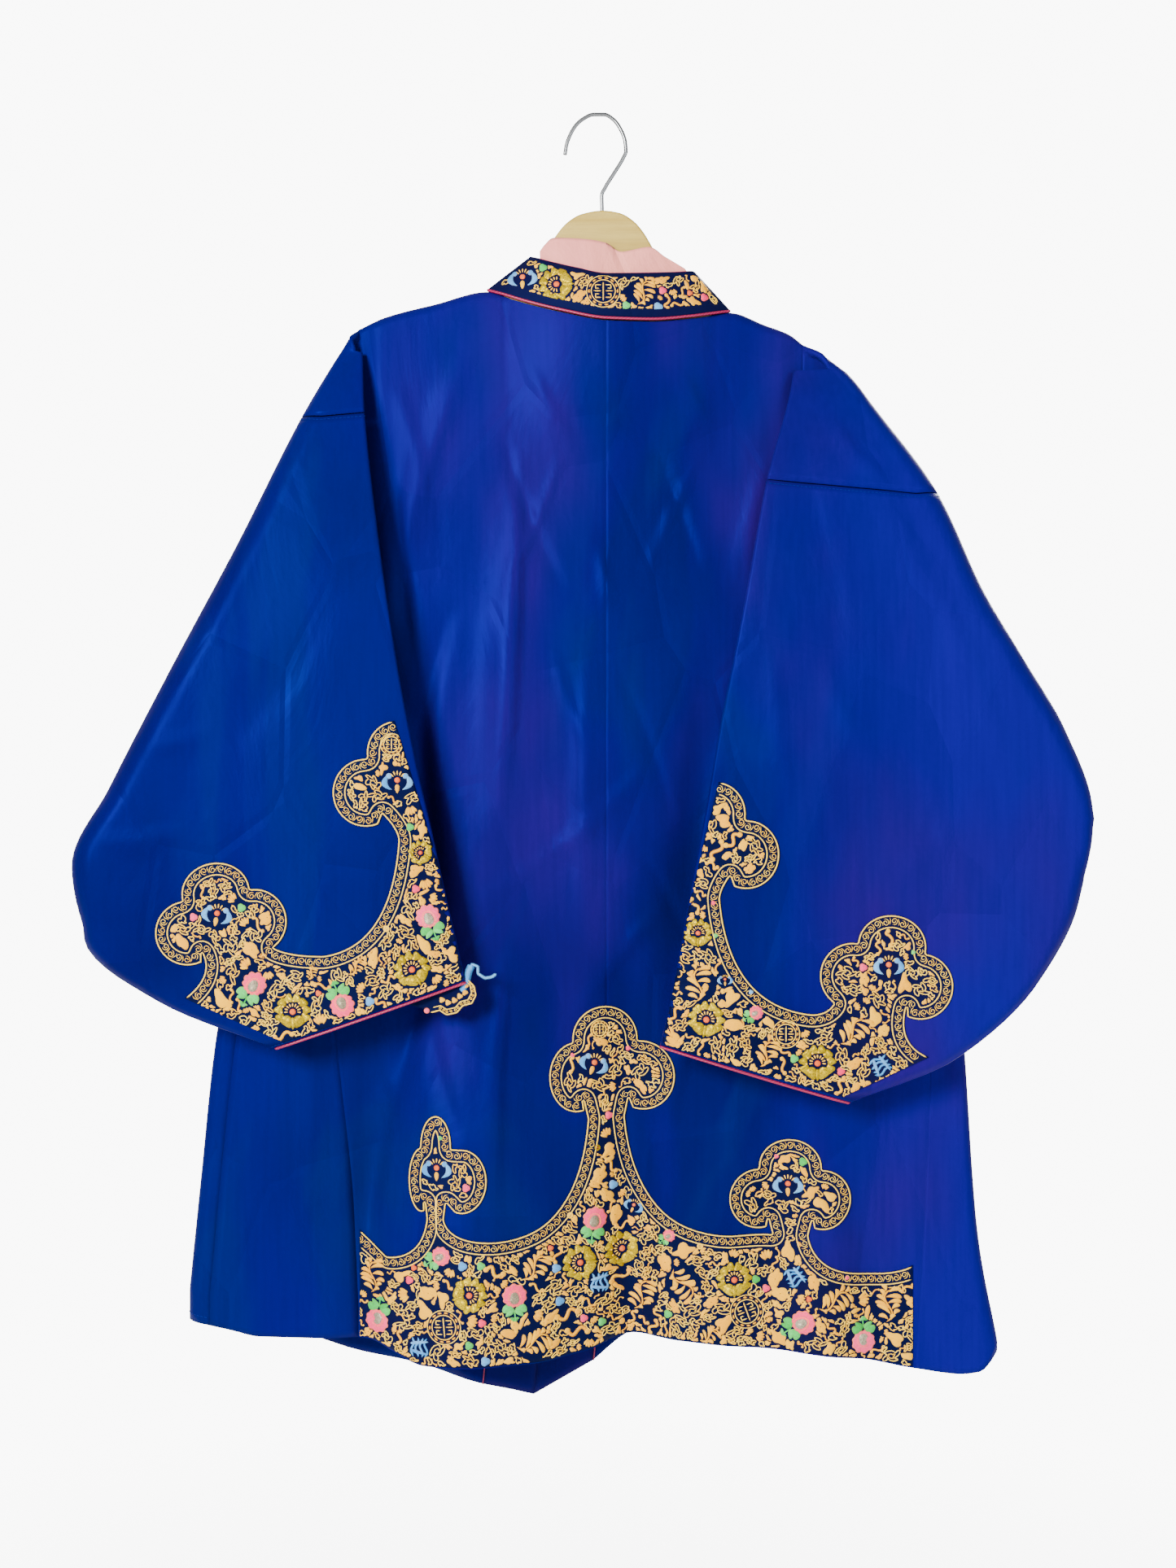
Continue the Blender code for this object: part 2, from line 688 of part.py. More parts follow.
def gusset(side):
    """The side gusset, from the back panel's seam to the front panel's."""
    grid = []
    for row in range(ROWS_BELOW + 1):
        down = row / ROWS_BELOW
        guess = mix(ARMPIT, HEM_LEVEL, down)
        start_x = seam_x(side, guess, 2) + side * SEAM_GAP
        if side < 0:
            end_x = seam_x(side, guess, 3) - side * SEAM_GAP
        else:
            end_x = side_turn(side, down, guess)[0][0]
        line = []
        for column in range(GUSSET_COLUMNS + 1):
            share = column / GUSSET_COLUMNS
            x, z = low_point(side, -1, lambda part, level: mix(start_x, end_x, part), share, down)
            line.append((x, -body_depth(x, z, -1), z))
        if side > 0:
            line += side_turn(side, down, guess)[1:]
            x, z = low_point(side, 1, lambda part, level: seam_x(side, level, 3) + SEAM_GAP, 0.0, down)
            line.append((x, body_depth(x, z, 1), z))
        grid.append(line)
    return grid


# Sleeves: flat tubes folded round the outer silhouette on to the back


def sleeve_row(table, along):
    return [read_curve(table, along, column) for column in range(13)]


def unit(vector):
    length = np.linalg.norm(vector)
    return vector / length if length > 1e-6 else vector


def sleeve_path(side, table, along):
    """Middle line of the folded tube at one place: points, outward directions and tangent angles."""
    row = sleeve_row(table, along)
    near_edge = np.array(row[1:3])
    fold = np.array(row[3:5])
    under = np.array(row[5:7])
    near_y, radius, turn_from, turn_to, half, edge = row[7:13]
    turn = math.radians(turn_to - turn_from)
    arc = radius * max(turn, MIN_TURN)
    to_fold = unit(fold - near_edge) if along > 15.0 else np.array((float(side), -0.05))
    to_under = under - fold
    to_under = unit(to_under) if np.linalg.norm(to_under) > 2.0 else -to_fold
    outward = unit(to_fold - to_under)
    start = math.radians(turn_from)

    def step(angle):
        flat = to_fold * math.cos(angle) if math.cos(angle) > 0 else to_under * -math.cos(angle)
        return np.array((flat[0], math.sin(angle), flat[1]))

    pieces = 48
    angles = [start + turn * (index + 0.5) / pieces for index in range(pieces)]
    arc_steps = [step(angle) * arc / pieces for angle in angles]
    back_reach = sum(max(0.0, -math.cos(angle)) for angle in angles) * arc / pieces
    fore_reach = sum(max(0.0, math.cos(angle)) for angle in angles) * arc / pieces
    if turn_from > 1.0:
        near_length = TIP_LENGTH
        back_reach += (near_length + edge) * max(0.0, -math.cos(start))
    else:
        near_length = np.linalg.norm(fold - near_edge) - fore_reach
    far_length = max(np.linalg.norm(under - fold) - back_reach, TIP_LENGTH)
    end = math.radians(turn_to)

    points = [np.zeros(3)]
    tangents = [start]
    for index in range(NEAR_CELLS):
        points.append(points[-1] + step(start) * near_length / NEAR_CELLS)
        tangents.append(start)
    for index in range(ARC_CELLS):
        first = index * pieces // ARC_CELLS
        after = (index + 1) * pieces // ARC_CELLS
        points.append(points[-1] + sum(arc_steps[first:after]))
        tangents.append(start + turn * after / pieces)
    for index in range(FAR_CELLS):
        points.append(points[-1] + step(end) * far_length / FAR_CELLS)
        tangents.append(end)
    points = np.array(points)
    if turn_from > 1.0:
        shift = np.array((under[0], 0.0, under[1])) - points[-1]
        shift[1] = -points[-1][1]
    else:
        shift = np.array((near_edge[0], near_y, near_edge[1]))
    points = points + shift
    directions = []
    for angle in tangents:
        flat = outward * math.sin(angle)
        directions.append(unit(np.array((flat[0], -math.cos(angle), flat[1]))))
    return points, np.array(directions), tangents, half, edge


def path_lengths(points):
    steps = np.linalg.norm(np.diff(points, axis=0), axis=1)
    return np.concatenate(((0.0,), np.cumsum(steps)))


def sleeve_ring(side, table, along, closed):
    """Ring of the tube, the front layer from top fold to underarm and the back layer home again,
    with the way each point's wall faces."""
    points, directions, tangents, half, edge = sleeve_path(side, table, along)
    lengths = path_lengths(points)
    total = lengths[-1]
    front = []
    back = []
    for point, direction, length in zip(points, directions, lengths):
        from_edge = min(length, total - length) if closed else length
        gap = mix(edge, half, smooth(from_edge / EDGE_TAPER) ** 0.6)
        front.append(point + direction * gap)
        back.append(point - direction * gap)
    past_seam = along - sleeve_tables(side)[1]
    hang_on_body(side, points, front, back, 1.0 - smooth(past_seam / 90.0))
    ahead = list(directions)
    behind = [-direction for direction in directions][::-1]
    top_cap, top_ways = cap(points[0], directions[0], points[0] - points[1], edge)
    if closed:
        end_cap, end_ways = cap(points[-1], directions[-1], points[-1] - points[-2], edge)
        ring = front + end_cap + back[::-1] + top_cap[::-1]
        return ring, ahead + end_ways + behind + top_ways[::-1]
    return back[::-1] + top_cap[::-1] + front, behind + top_ways[::-1] + ahead


def hang_on_body(side, points, front, back, amount):
    """Lower down, the shoulder's two layers lie where the body's two layers are."""
    first = NEAR_CELLS + ARC_CELLS
    for index in range(first + 1, len(points)):
        share = smooth((index - first) / (FAR_CELLS - 1.0)) * amount
        x, z = points[index][0], points[index][2]
        front[index][1] = mix(front[index][1], body_depth(x, z, 1), share)
        back[index][1] = mix(back[index][1], -body_depth(x, z, -1), share)


def cap(centre, direction, outwards, radius):
    """Round end between the two layers, from the front layer to the back one."""
    outwards = unit(outwards)
    ring = []
    ways = []
    for index in range(1, CAP_CELLS):
        angle = math.pi * index / CAP_CELLS
        ways.append(direction * math.cos(angle) + outwards * math.sin(angle))
        ring.append(centre + ways[-1] * radius)
    return ring, ways


def sleeve_tables(side):
    if side < 0:
        return LEFT_SLEEVE, LEFT_SEAM, LEFT_STATIONS
    return RIGHT_SLEEVE, RIGHT_SEAM, RIGHT_STATIONS


def shoulder_grid(side):
    """Rings of the dropped shoulder, and the normals of its first and last ring."""
    table, seam, stations = sleeve_tables(side)
    rings = [sleeve_ring(side, table, along, closed=False) for along in stations]
    for point in rings[0][0]:
        point[0] += side * SEAM_GAP
    grid = np.array([ring for ring, ways in rings]).transpose(1, 0, 2)
    return grid, ((0, np.array(rings[0][1])), (-1, np.array(rings[-1][1])))


def sleeve_grid(side):
    """Rings of the sleeve from its seam to the cuff, and the normals of its first ring."""
    table, seam, stations = sleeve_tables(side)
    start = seam + SLEEVE_SEAM_GAP
    end = table[-1][0]
    rings = []
    for index in range(SLEEVE_RINGS):
        along = mix(start, end, index / (SLEEVE_RINGS - 1))
        rings.append(sleeve_ring(side, table, along, closed=True))
    grid = np.array([ring for ring, ways in rings]).transpose(1, 0, 2)
    return grid, ((0, np.array(rings[0][1])),)


# Bands, collar and trims


def band_grid(side, front):
    """Front band: a plain strip beside the front panel's first column, from the shoulder to the hem."""
    pick = 1 if side < 0 else 2
    corner_z = BAND_TOPS[pick - 1]
    top_z, hem_z = front[0][0][2], front[-1][0][2]
    grid = []
    for row, line in enumerate(front):
        x_seam, y_seam, z_seam = line[0]
        down = (top_z - z_seam) / (top_z - hem_z)
        z_edge = mix(corner_z, BAND_EDGE[-1][0], down)
        x_edge = read_curve(BAND_EDGE, z_edge, pick)
        band_line = []
        for column in range(BAND_COLUMNS + 1):
            share = column / BAND_COLUMNS
            x = mix(x_seam - side * SEAM_GAP, x_edge, share)
            z = mix(z_seam, z_edge, share)
            y = y_seam if row < len(RIDGE_ANGLES) else body_depth(x, z, 1)
            band_line.append((x, y, z))
        grid.append(band_line)
    return grid


def collar_grid():
    """The band at the back of the neck, from shoulder to shoulder."""
    columns = 22
    across = 4
    grid = []
    for row in range(across + 1):
        up = row / across
        line = []
        for column in range(columns + 1):
            place = (len(COLLAR) - 1) * column / columns
            table = [(index, *values) for index, values in enumerate(COLLAR)]
            low = [read_curve(table, place, index) for index in (1, 2, 3)]
            high = [read_curve(table, place, index) for index in (4, 5, 6)]
            x = mix(low[0], high[0], up)
            z = mix(low[1], high[1], up)
            crown = 3.0 * math.sin(math.pi * up) * math.sin(math.pi * column / columns)
            depth = mix(low[2], high[2], up) + crown
            line.append((x, -depth - COLLAR_WALL / 2, z))
        grid.append(line)
    return grid


def lining_grid():
    """Silk lining that stands up inside the collar."""
    columns = 20
    across = 4
    top = [(index, *values) for index, values in enumerate(LINING_TOP)]
    band = [(index, *values) for index, values in enumerate(COLLAR)]
    grid = []
    for row in range(across + 1):
        up = row / across
        line = []
        for column in range(columns + 1):
            share = column / columns
            high = [read_curve(top, (len(top) - 1) * share, index) for index in (1, 2, 3)]
            low = [read_curve(band, mix(0.9, len(band) - 1.9, share), index) for index in (4, 5, 6)]
            x = mix(low[0], high[0], up)
            z = mix(low[1] - 7.0, high[1], up)
            depth = mix(low[2] - LINING_WALL / 2 - 2 * SEAM_GAP, high[2], up)
            line.append((x, -max(depth, 0.7), z))
        grid.append(line)
    return grid


def tube(name, points, radius, colour, rough, closed=False, sides=6):
    """Round cord along a line of points."""
    points = [np.array(point) for point in points]
    count = len(points)
    work = bmesh.new()
    rings = []
    side_way = None
    for index, point in enumerate(points):
        before = points[index - 1] if closed or index else point
        after = points[(index + 1) % count] if closed or index < count - 1 else point
        tangent = unit(after - before)
        if side_way is None:
            side_way = np.cross(tangent, np.array((0.0, 1.0, 0.0)))
            if np.linalg.norm(side_way) < 0.2:
                side_way = np.cross(tangent, np.array((1.0, 0.0, 0.0)))
        side_way = unit(side_way - tangent * np.dot(side_way, tangent))
        other = np.cross(tangent, side_way)
        ring = []
        for place in range(sides):
            angle = 2 * math.pi * place / sides
            spot = point + (side_way * math.cos(angle) + other * math.sin(angle)) * radius
            ring.append(work.verts.new(Vector(spot) * MM))
        rings.append(ring)
    for index in range(count if closed else count - 1):
        first, second = rings[index], rings[(index + 1) % count]
        for place in range(sides):
            after = (place + 1) % sides
            work.faces.new((first[place], first[after], second[after], second[place]))
    if not closed:
        work.faces.new(rings[0][::-1])
        work.faces.new(rings[-1])
    bmesh.ops.recalc_face_normals(work, faces=work.faces)
    return add_object(name, work, colour, rough)


# Borders: thin pieces laid on a panel, cut along its own facets


def arc_points(centre, wide, high, start, end, count):
    points = []
    for index in range(count + 1):
        angle = math.radians(mix(start, end, index / count))
        points.append((centre[0] + wide * math.cos(angle), centre[1] + high * math.sin(angle)))
    return points


def cloud(row, part="whole", stem=True):
    """Outline of a ruyi cloud, or of its left or right half, from the stem over the lobes."""
    x, z, left_wide, right_wide, top_wide, high, lean = row
    halves = []
    for wide in (left_wide, right_wide):
        side = arc_points((-SIDE_LOBE_X, SIDE_LOBE_Z), SIDE_LOBE_WIDE, SIDE_LOBE_HIGH, -74.0, -262.0, 9)
        side = [(across * wide, up) for across, up in side]
        top = arc_points((0.0, TOP_LOBE_Z), TOP_LOBE_RADIUS, TOP_LOBE_RADIUS, 184.0, 90.0, 5)
        top = [(across * top_wide, up) for across, up in top]
        half = [(-NOTCH_X * top_wide, NOTCH_Z)] + side + top
        if stem:
            half.insert(0, (-WAIST_X * top_wide, WAIST_Z))
        halves.append(half)
    left = halves[0]
    right = [(-across, up) for across, up in reversed(halves[1])]
    outline = {"whole": left + right[1:], "left": left, "right": right}[part]
    turn = math.radians(lean)
    placed = []
    for across, up in outline:
        up *= high
        placed.append((
            x + across * math.cos(turn) - up * math.sin(turn),
            z + across * math.sin(turn) + up * math.cos(turn),
        ))
    return placed


def bend(start, way, end, count=5):
    """Quarter curve from start to end, pulled towards way."""
    points = []
    for index in range(1, count):
        t = index / count
        points.append(tuple(
            (1 - t) ** 2 * a + 2 * t * (1 - t) * b + t * t * c for a, b, c in zip(start, way, end)
        ))
    return points


def hem_outline():
    clouds = [cloud(row) for row in HEM_CLOUDS]
    outline = [HEM_ENDS[0]]
    for index, low in enumerate(HEM_SCALLOPS):
        before = outline[-1]
        outline += bend(before, (mix(before[0], low[0], 0.1), low[1]), low, 6)
        outline.append(low)
        if index < len(clouds):
            after = clouds[index][0]
            outline += bend(low, (mix(low[0], after[0], 0.9), low[1] + 2.0), after, 6)
            outline += clouds[index]
        else:
            outline += bend(low, (mix(low[0], HEM_ENDS[1][0], 0.7), low[1]), HEM_ENDS[1], 3)
            outline.append(HEM_ENDS[1])
    lower = []
    for index in range(23):
        x = mix(HEM_ENDS[1][0], HEM_ENDS[0][0], index / 22)
        lower.append((x, read_curve(BACK_HEM, x, 1) + BORDER_INSET))
    return outline + lower


def near_outline(side, along, share):
    """A point of the sleeve's near leg: share 0 is the top fold, 1 the outer edge."""
    table = sleeve_tables(side)[0]
    row = sleeve_row(table, along)
    return (mix(row[1], row[3], share), mix(row[2], row[4], share))


def cuff_outline(side):
    """Outline of a cuff border in the front view."""
    edge_cloud = LEFT_EDGE_CLOUD if side < 0 else RIGHT_EDGE_CLOUD
    cuff_cloud = LEFT_CUFF_CLOUD if side < 0 else RIGHT_CUFF_CLOUD
    arch = LEFT_ARCH if side < 0 else RIGHT_ARCH
    foot = LEFT_CUFF_FOOT if side < 0 else RIGHT_CUFF_FOOT
    length = sleeve_tables(side)[0][-1][0]
    upper = cloud(edge_cloud, "left" if side < 0 else "right", stem=False)
    lower = cloud(cuff_cloud, stem=False)
    if side < 0:
        upper = upper[::-1]
        lower = lower[::-1]
    lower = lower[MERGED_POINTS:]
    outline = upper
    outline += bend(upper[-1], (arch[1][0], mix(upper[-1][1], arch[1][1], 0.6)), arch[1], 3)
    outline.append(arch[1])
    corner = (mix(arch[1][0], arch[0][0], 0.1), mix(arch[1][1], arch[0][1], 0.92))
    outline += bend(arch[1], corner, arch[0], 6)
    outline.append(arch[0])
    outline += bend(arch[0], (mix(arch[0][0], lower[0][0], 0.7), arch[0][1]), lower[0], 4)
    outline += lower
    outline += bend(lower[-1], foot[0], foot[1], 4)
    outline.append(foot[1])
    inset = length - BORDER_INSET
    for share in (0.99, 0.75, 0.5, 0.25, 0.012):
        outline.append(near_outline(side, inset, share))
    for along in (0.95, 0.9, 0.85, 0.8):
        outline.append(near_outline(side, length * along, 0.012))
    limit = near_edge_line(side)
    return [(limit(x, z), z) for x, z in outline]


def near_edge_line(side):
    """Keeps a point off the rounded top fold of the sleeve."""
    table = sleeve_tables(side)[0]

    def held(x, z):
        rows = sorted((row[2], row[1]) for row in table if row[0] > 60.0)
        edge = float(np.interp(z, [row[0] for row in rows], [row[1] for row in rows]))
        if side < 0:
            return min(x, edge - 1.5)
        return max(x, edge + 1.5)

    return held


def inside(point, outline):
    x, z = point
    hit = False
    for index, (x1, z1) in enumerate(outline):
        x2, z2 = outline[index - 1]
        if (z1 > z) != (z2 > z) and x < (x2 - x1) * (z - z1) / (z2 - z1) + x1:
            hit = not hit
    return hit


def laid_piece(name, outline, skins, colour, rough, thickness=APPLIED_WALL):
    """A flat-cut piece on one or more skins: it follows their facets and stands just off them."""
    low = np.min(np.array(outline), axis=0) - 40.0
    high = np.max(np.array(outline), axis=0) + 40.0
    spots = [Vector(point) for point in outline]
    count = len(outline)
    edges = [(index, (index + 1) % count) for index in range(count)]
    facets = []
    for outer, normals, triangles in skins:
        known = {}
        for triangle in triangles:
            corners = [outer[key] for key in triangle]
            flat = np.array([(corner[0], corner[2]) for corner in corners])
            if flat.max(axis=0)[0] < low[0] or flat.min(axis=0)[0] > high[0]:
                continue
            if flat.max(axis=0)[1] < low[1] or flat.min(axis=0)[1] > high[1]:
                continue
            if sum(normals[key][1] for key in triangle) > -0.9:
                continue
            facets.append((flat, np.array(corners), np.array([normals[key] for key in triangle])))
            for key in triangle:
                if key not in known:
                    known[key] = len(spots)
                    spots.append(Vector((outer[key][0], outer[key][2])))
            for place in range(3):
                edges.append((known[triangle[place]], known[triangle[(place + 1) % 3]]))
    flat_points, _, faces, _, _, _ = delaunay_2d_cdt(spots, edges, [], 0, 1e-3)
    outer_skin = {}
    under_skin = {}
    kept = []
    for face in faces:
        centre = sum((flat_points[index] for index in face), Vector((0.0, 0.0))) / 3
        if not inside(centre, outline):
            continue
        facet = find_facet(facets, centre)
        corners = [tuple(flat_points[index]) for index in face]
        area = (corners[1][0] - corners[0][0]) * (corners[2][1] - corners[0][1])
        area -= (corners[2][0] - corners[0][0]) * (corners[1][1] - corners[0][1])
        keys = list(face)
        if area < 0:
            keys.reverse()
        kept.append(tuple(keys))
        for index in face:
            if index in outer_skin:
                continue
            spot, normal = on_facet(facet, flat_points[index])
            under_skin[index] = spot + normal * SEAM_GAP
            outer_skin[index] = spot + normal * (SEAM_GAP + thickness)
    work = bmesh.new()
    wall(work, outer_skin, under_skin, kept)
    return add_object(name, work, colour, rough)


def weights(flat, point):
    a, b, c = flat
    base = (b[0] - a[0]) * (c[1] - a[1]) - (c[0] - a[0]) * (b[1] - a[1])
    if abs(base) < 1e-9:
        return None
    first = ((b[0] - point[0]) * (c[1] - point[1]) - (c[0] - point[0]) * (b[1] - point[1])) / base
    second = ((c[0] - point[0]) * (a[1] - point[1]) - (a[0] - point[0]) * (c[1] - point[1])) / base
    return np.array((first, second, 1.0 - first - second))


def find_facet(facets, point):
    best = None
    for facet in facets:
        share = weights(facet[0], point)
        if share is None:
            continue
        miss = -share.min()
        if best is None or miss < best[0]:
            best = (miss, facet)
        if miss <= 0.0:
            break
    return best[1]


def on_facet(facet, point):
    share = weights(facet[0], point)
    spot = (facet[1] * share[:, None]).sum(axis=0)
    normal = unit((facet[2] * share[:, None]).sum(axis=0))
    return spot, normal


# Hanger


def build_hanger(colour, rough):
    work = bmesh.new()
    half = HANGER_THICK / 2
    outline = HANGER_TOP + HANGER_BOTTOM
    face = work.faces.new([work.verts.new(Vector((x, -half, z)) * MM) for x, z in outline])
    swept = bmesh.ops.extrude_face_region(work, geom=[face])
    moved = [item for item in swept["geom"] if isinstance(item, bmesh.types.BMVert)]
    bmesh.ops.translate(work, verts=moved, vec=(0.0, HANGER_THICK * MM, 0.0))
    bmesh.ops.recalc_face_normals(work, faces=work.faces)
    hanger = add_object("hanger_wood", work, colour, rough)
    edge = hanger.modifiers.new("Rounded edges", "BEVEL")
    edge.width = 1.6 * MM
    edge.segments = 2
    edge.limit_method = "ANGLE"
    edge.angle_limit = math.radians(60.0)

    drill = bmesh.new()
    bmesh.ops.create_cone(
        drill, cap_ends=True, segments=20, radius1=(HOOK_RADIUS + 0.35) * MM,
        radius2=(HOOK_RADIUS + 0.35) * MM, depth=2 * HOOK_HOLE_DEPTH * MM,
    )
    bmesh.ops.translate(drill, verts=drill.verts, vec=(HOOK_LINE[0][0] * MM, 0.0, HANGER_TOP[9][1] * MM))
    cutter = add_object("hook_hole_cutter", drill, colour, rough)
    cutter.hide_render = True
    cutter.display_type = "WIRE"
    hole = hanger.modifiers.new("Hook hole", "BOOLEAN")
    hole.operation = "DIFFERENCE"
    hole.solver = "EXACT"
    hole.object = cutter
    return hanger


def build_hook(colour, rough, metal):
    table = [(index, *point) for index, point in enumerate(HOOK_LINE)]
    points = []
    steps = 2
    for index in range((len(HOOK_LINE) - 1) * steps + 1):
        place = index / steps
        points.append((read_curve(table, place, 1), 0.0, read_curve(table, place, 2)))
    hook = tube("hanger_hook", points, HOOK_RADIUS, colour, rough, sides=8)
    hook.data.materials[0].node_tree.nodes["Principled BSDF"].inputs["Metallic"].default_value = metal
    return hook


BLUE = (0.010, 0.030, 0.33)
NAVY = (0.012, 0.014, 0.09)
CRIMSON = (0.62, 0.02, 0.07)
PINK = (0.90, 0.52, 0.52)
GOLD = (0.75, 0.45, 0.16)
WOOD = (0.62, 0.47, 0.24)
STEEL = (0.62, 0.62, 0.63)


def build_body():
    """Panels, gussets and front bands; returns the back's outer skins, for what is laid on them."""
    skins = []
    centre = ()
    below = ROWS_BELOW + 1
    for side, word in ((-1, "left"), (1, "right")):
        grid, present = back_half(side)
        back, outer, normals, triangles = sheet(
            "back_" + word, grid, -side, BLUE, 0.35, present=present, shared=centre,
            upright=BACK_COLUMNS[0])
        skins.append((outer, normals, triangles))
        centre = ((0, normals[:, 0]),)
        back_seam = (0, normals[-below:, -1])
        grid, present = front_half(side)
        if side < 0:
            gusset_normals = sheet("gusset_left", gusset(side), 1, BLUE, 0.35, shared=(back_seam,))[2]
            front_seam = ((-1, gusset_normals[:, -1]),)
            front = sheet("front_left", grid, side, BLUE, 0.35, present=present, shared=front_seam,
                          upright=FRONT_COLUMNS[0])
        else:
            front = sheet("front_right", grid, side, BLUE, 0.35, present=present,
                          upright=FRONT_COLUMNS[0])
            front_seam = (-1, front[2][-below:, -1])
            sheet("gusset_right", gusset(side), -1, BLUE, 0.35, shared=(back_seam, front_seam))
        band_seam = ((0, front[2][:, 0]),)
        sheet("front_band_" + word, band_grid(side, grid), -side, NAVY, 0.5, shared=band_seam)
        first = len(RIDGE_ANGLES) - 1
        lift = WALL / 2 + SEAM_GAP + PIPING_RADIUS
        cord = [front[1][row, 0] + front[2][row, 0] * (lift - WALL / 2) for row in range(first, len(grid))]
        tube("front_piping_" + word, cord, PIPING_RADIUS, CRIMSON, 0.4)
    return skins


def cuff_cord(grid):
    """Centre line of the piping just below the cuff's edge, all the way round."""
    points = []
    count = grid.shape[0]
    for index in range(count):
        last = grid[index, -1]
        along = unit(grid[(index + 1) % count, -1] - grid[index - 1, -1])
        way = last - grid[index, -2]
        way = unit(way - along * np.dot(way, along))
        points.append(last + way * (SEAM_GAP + PIPING_RADIUS))
    return points


def build_sleeves():
    for side, word in ((-1, "left"), (1, "right")):
        grid, ends = shoulder_grid(side)
        sheet("shoulder_" + word, grid, side, BLUE, 0.35, shared=ends)
        grid, ends = sleeve_grid(side)
        sleeve, outer, normals, triangles = sheet(
            "sleeve_" + word, grid, side, BLUE, 0.35, loop_rows=True, shared=ends)
        skin = (outer, normals, triangles)
        laid_piece("cuff_border_" + word, cuff_outline(side), [skin], GOLD, 0.6)
        tube("cuff_piping_" + word, cuff_cord(grid), PIPING_RADIUS, CRIMSON, 0.4, closed=True)


def neck_cord():
    """Centre line of the piping along the collar's lower seam, on its outer face."""
    table = [(index, *values) for index, values in enumerate(COLLAR)]
    lift = COLLAR_WALL + SEAM_GAP + PIPING_RADIUS
    points = []
    count = 20
    for index in range(count + 1):
        place = (len(COLLAR) - 1) * index / count
        x, z, depth = [read_curve(table, place, column) for column in (1, 2, 3)]
        points.append((x, -depth - lift, z - SEAM_GAP))
    return points


def build_neck():
    sheet("collar", collar_grid(), 1, NAVY, 0.5, thickness=COLLAR_WALL)
    sheet("collar_lining", lining_grid(), 1, PINK, 0.4, thickness=LINING_WALL)
    tube("neck_piping", neck_cord(), PIPING_RADIUS, CRIMSON, 0.4)


def main():
    clear_scene()
    build_hanger(WOOD, 0.45)
    build_hook(STEEL, 0.25, 1.0)
    skins = build_body()
    laid_piece("hem_border", hem_outline(), skins, GOLD, 0.6)
    build_sleeves()
    build_neck()


main()
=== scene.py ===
# A wide-sleeved silk haori on a wooden hanger, seen from the back
import math

import bmesh
import bpy
import numpy as np
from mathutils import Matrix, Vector
from mathutils.bvhtree import BVHTree


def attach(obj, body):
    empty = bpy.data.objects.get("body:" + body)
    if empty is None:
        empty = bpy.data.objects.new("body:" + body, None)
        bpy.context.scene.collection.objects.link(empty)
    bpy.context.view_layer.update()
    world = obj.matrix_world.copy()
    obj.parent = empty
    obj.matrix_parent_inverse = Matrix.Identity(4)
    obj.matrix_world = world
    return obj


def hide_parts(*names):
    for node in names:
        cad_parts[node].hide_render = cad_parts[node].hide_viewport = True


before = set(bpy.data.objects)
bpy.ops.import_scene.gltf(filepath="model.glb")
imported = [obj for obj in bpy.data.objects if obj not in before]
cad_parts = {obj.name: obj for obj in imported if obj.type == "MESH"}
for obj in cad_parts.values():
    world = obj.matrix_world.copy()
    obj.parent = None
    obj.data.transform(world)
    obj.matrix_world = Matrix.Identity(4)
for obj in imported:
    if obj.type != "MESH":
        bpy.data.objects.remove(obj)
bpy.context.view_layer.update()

mm = 0.001  # tables are in millimetres: x to the viewer's right, y away, z up from the hook
weld = 0.00001  # points nearer than this are one
sides = ((-1, "left"), (1, "right"))

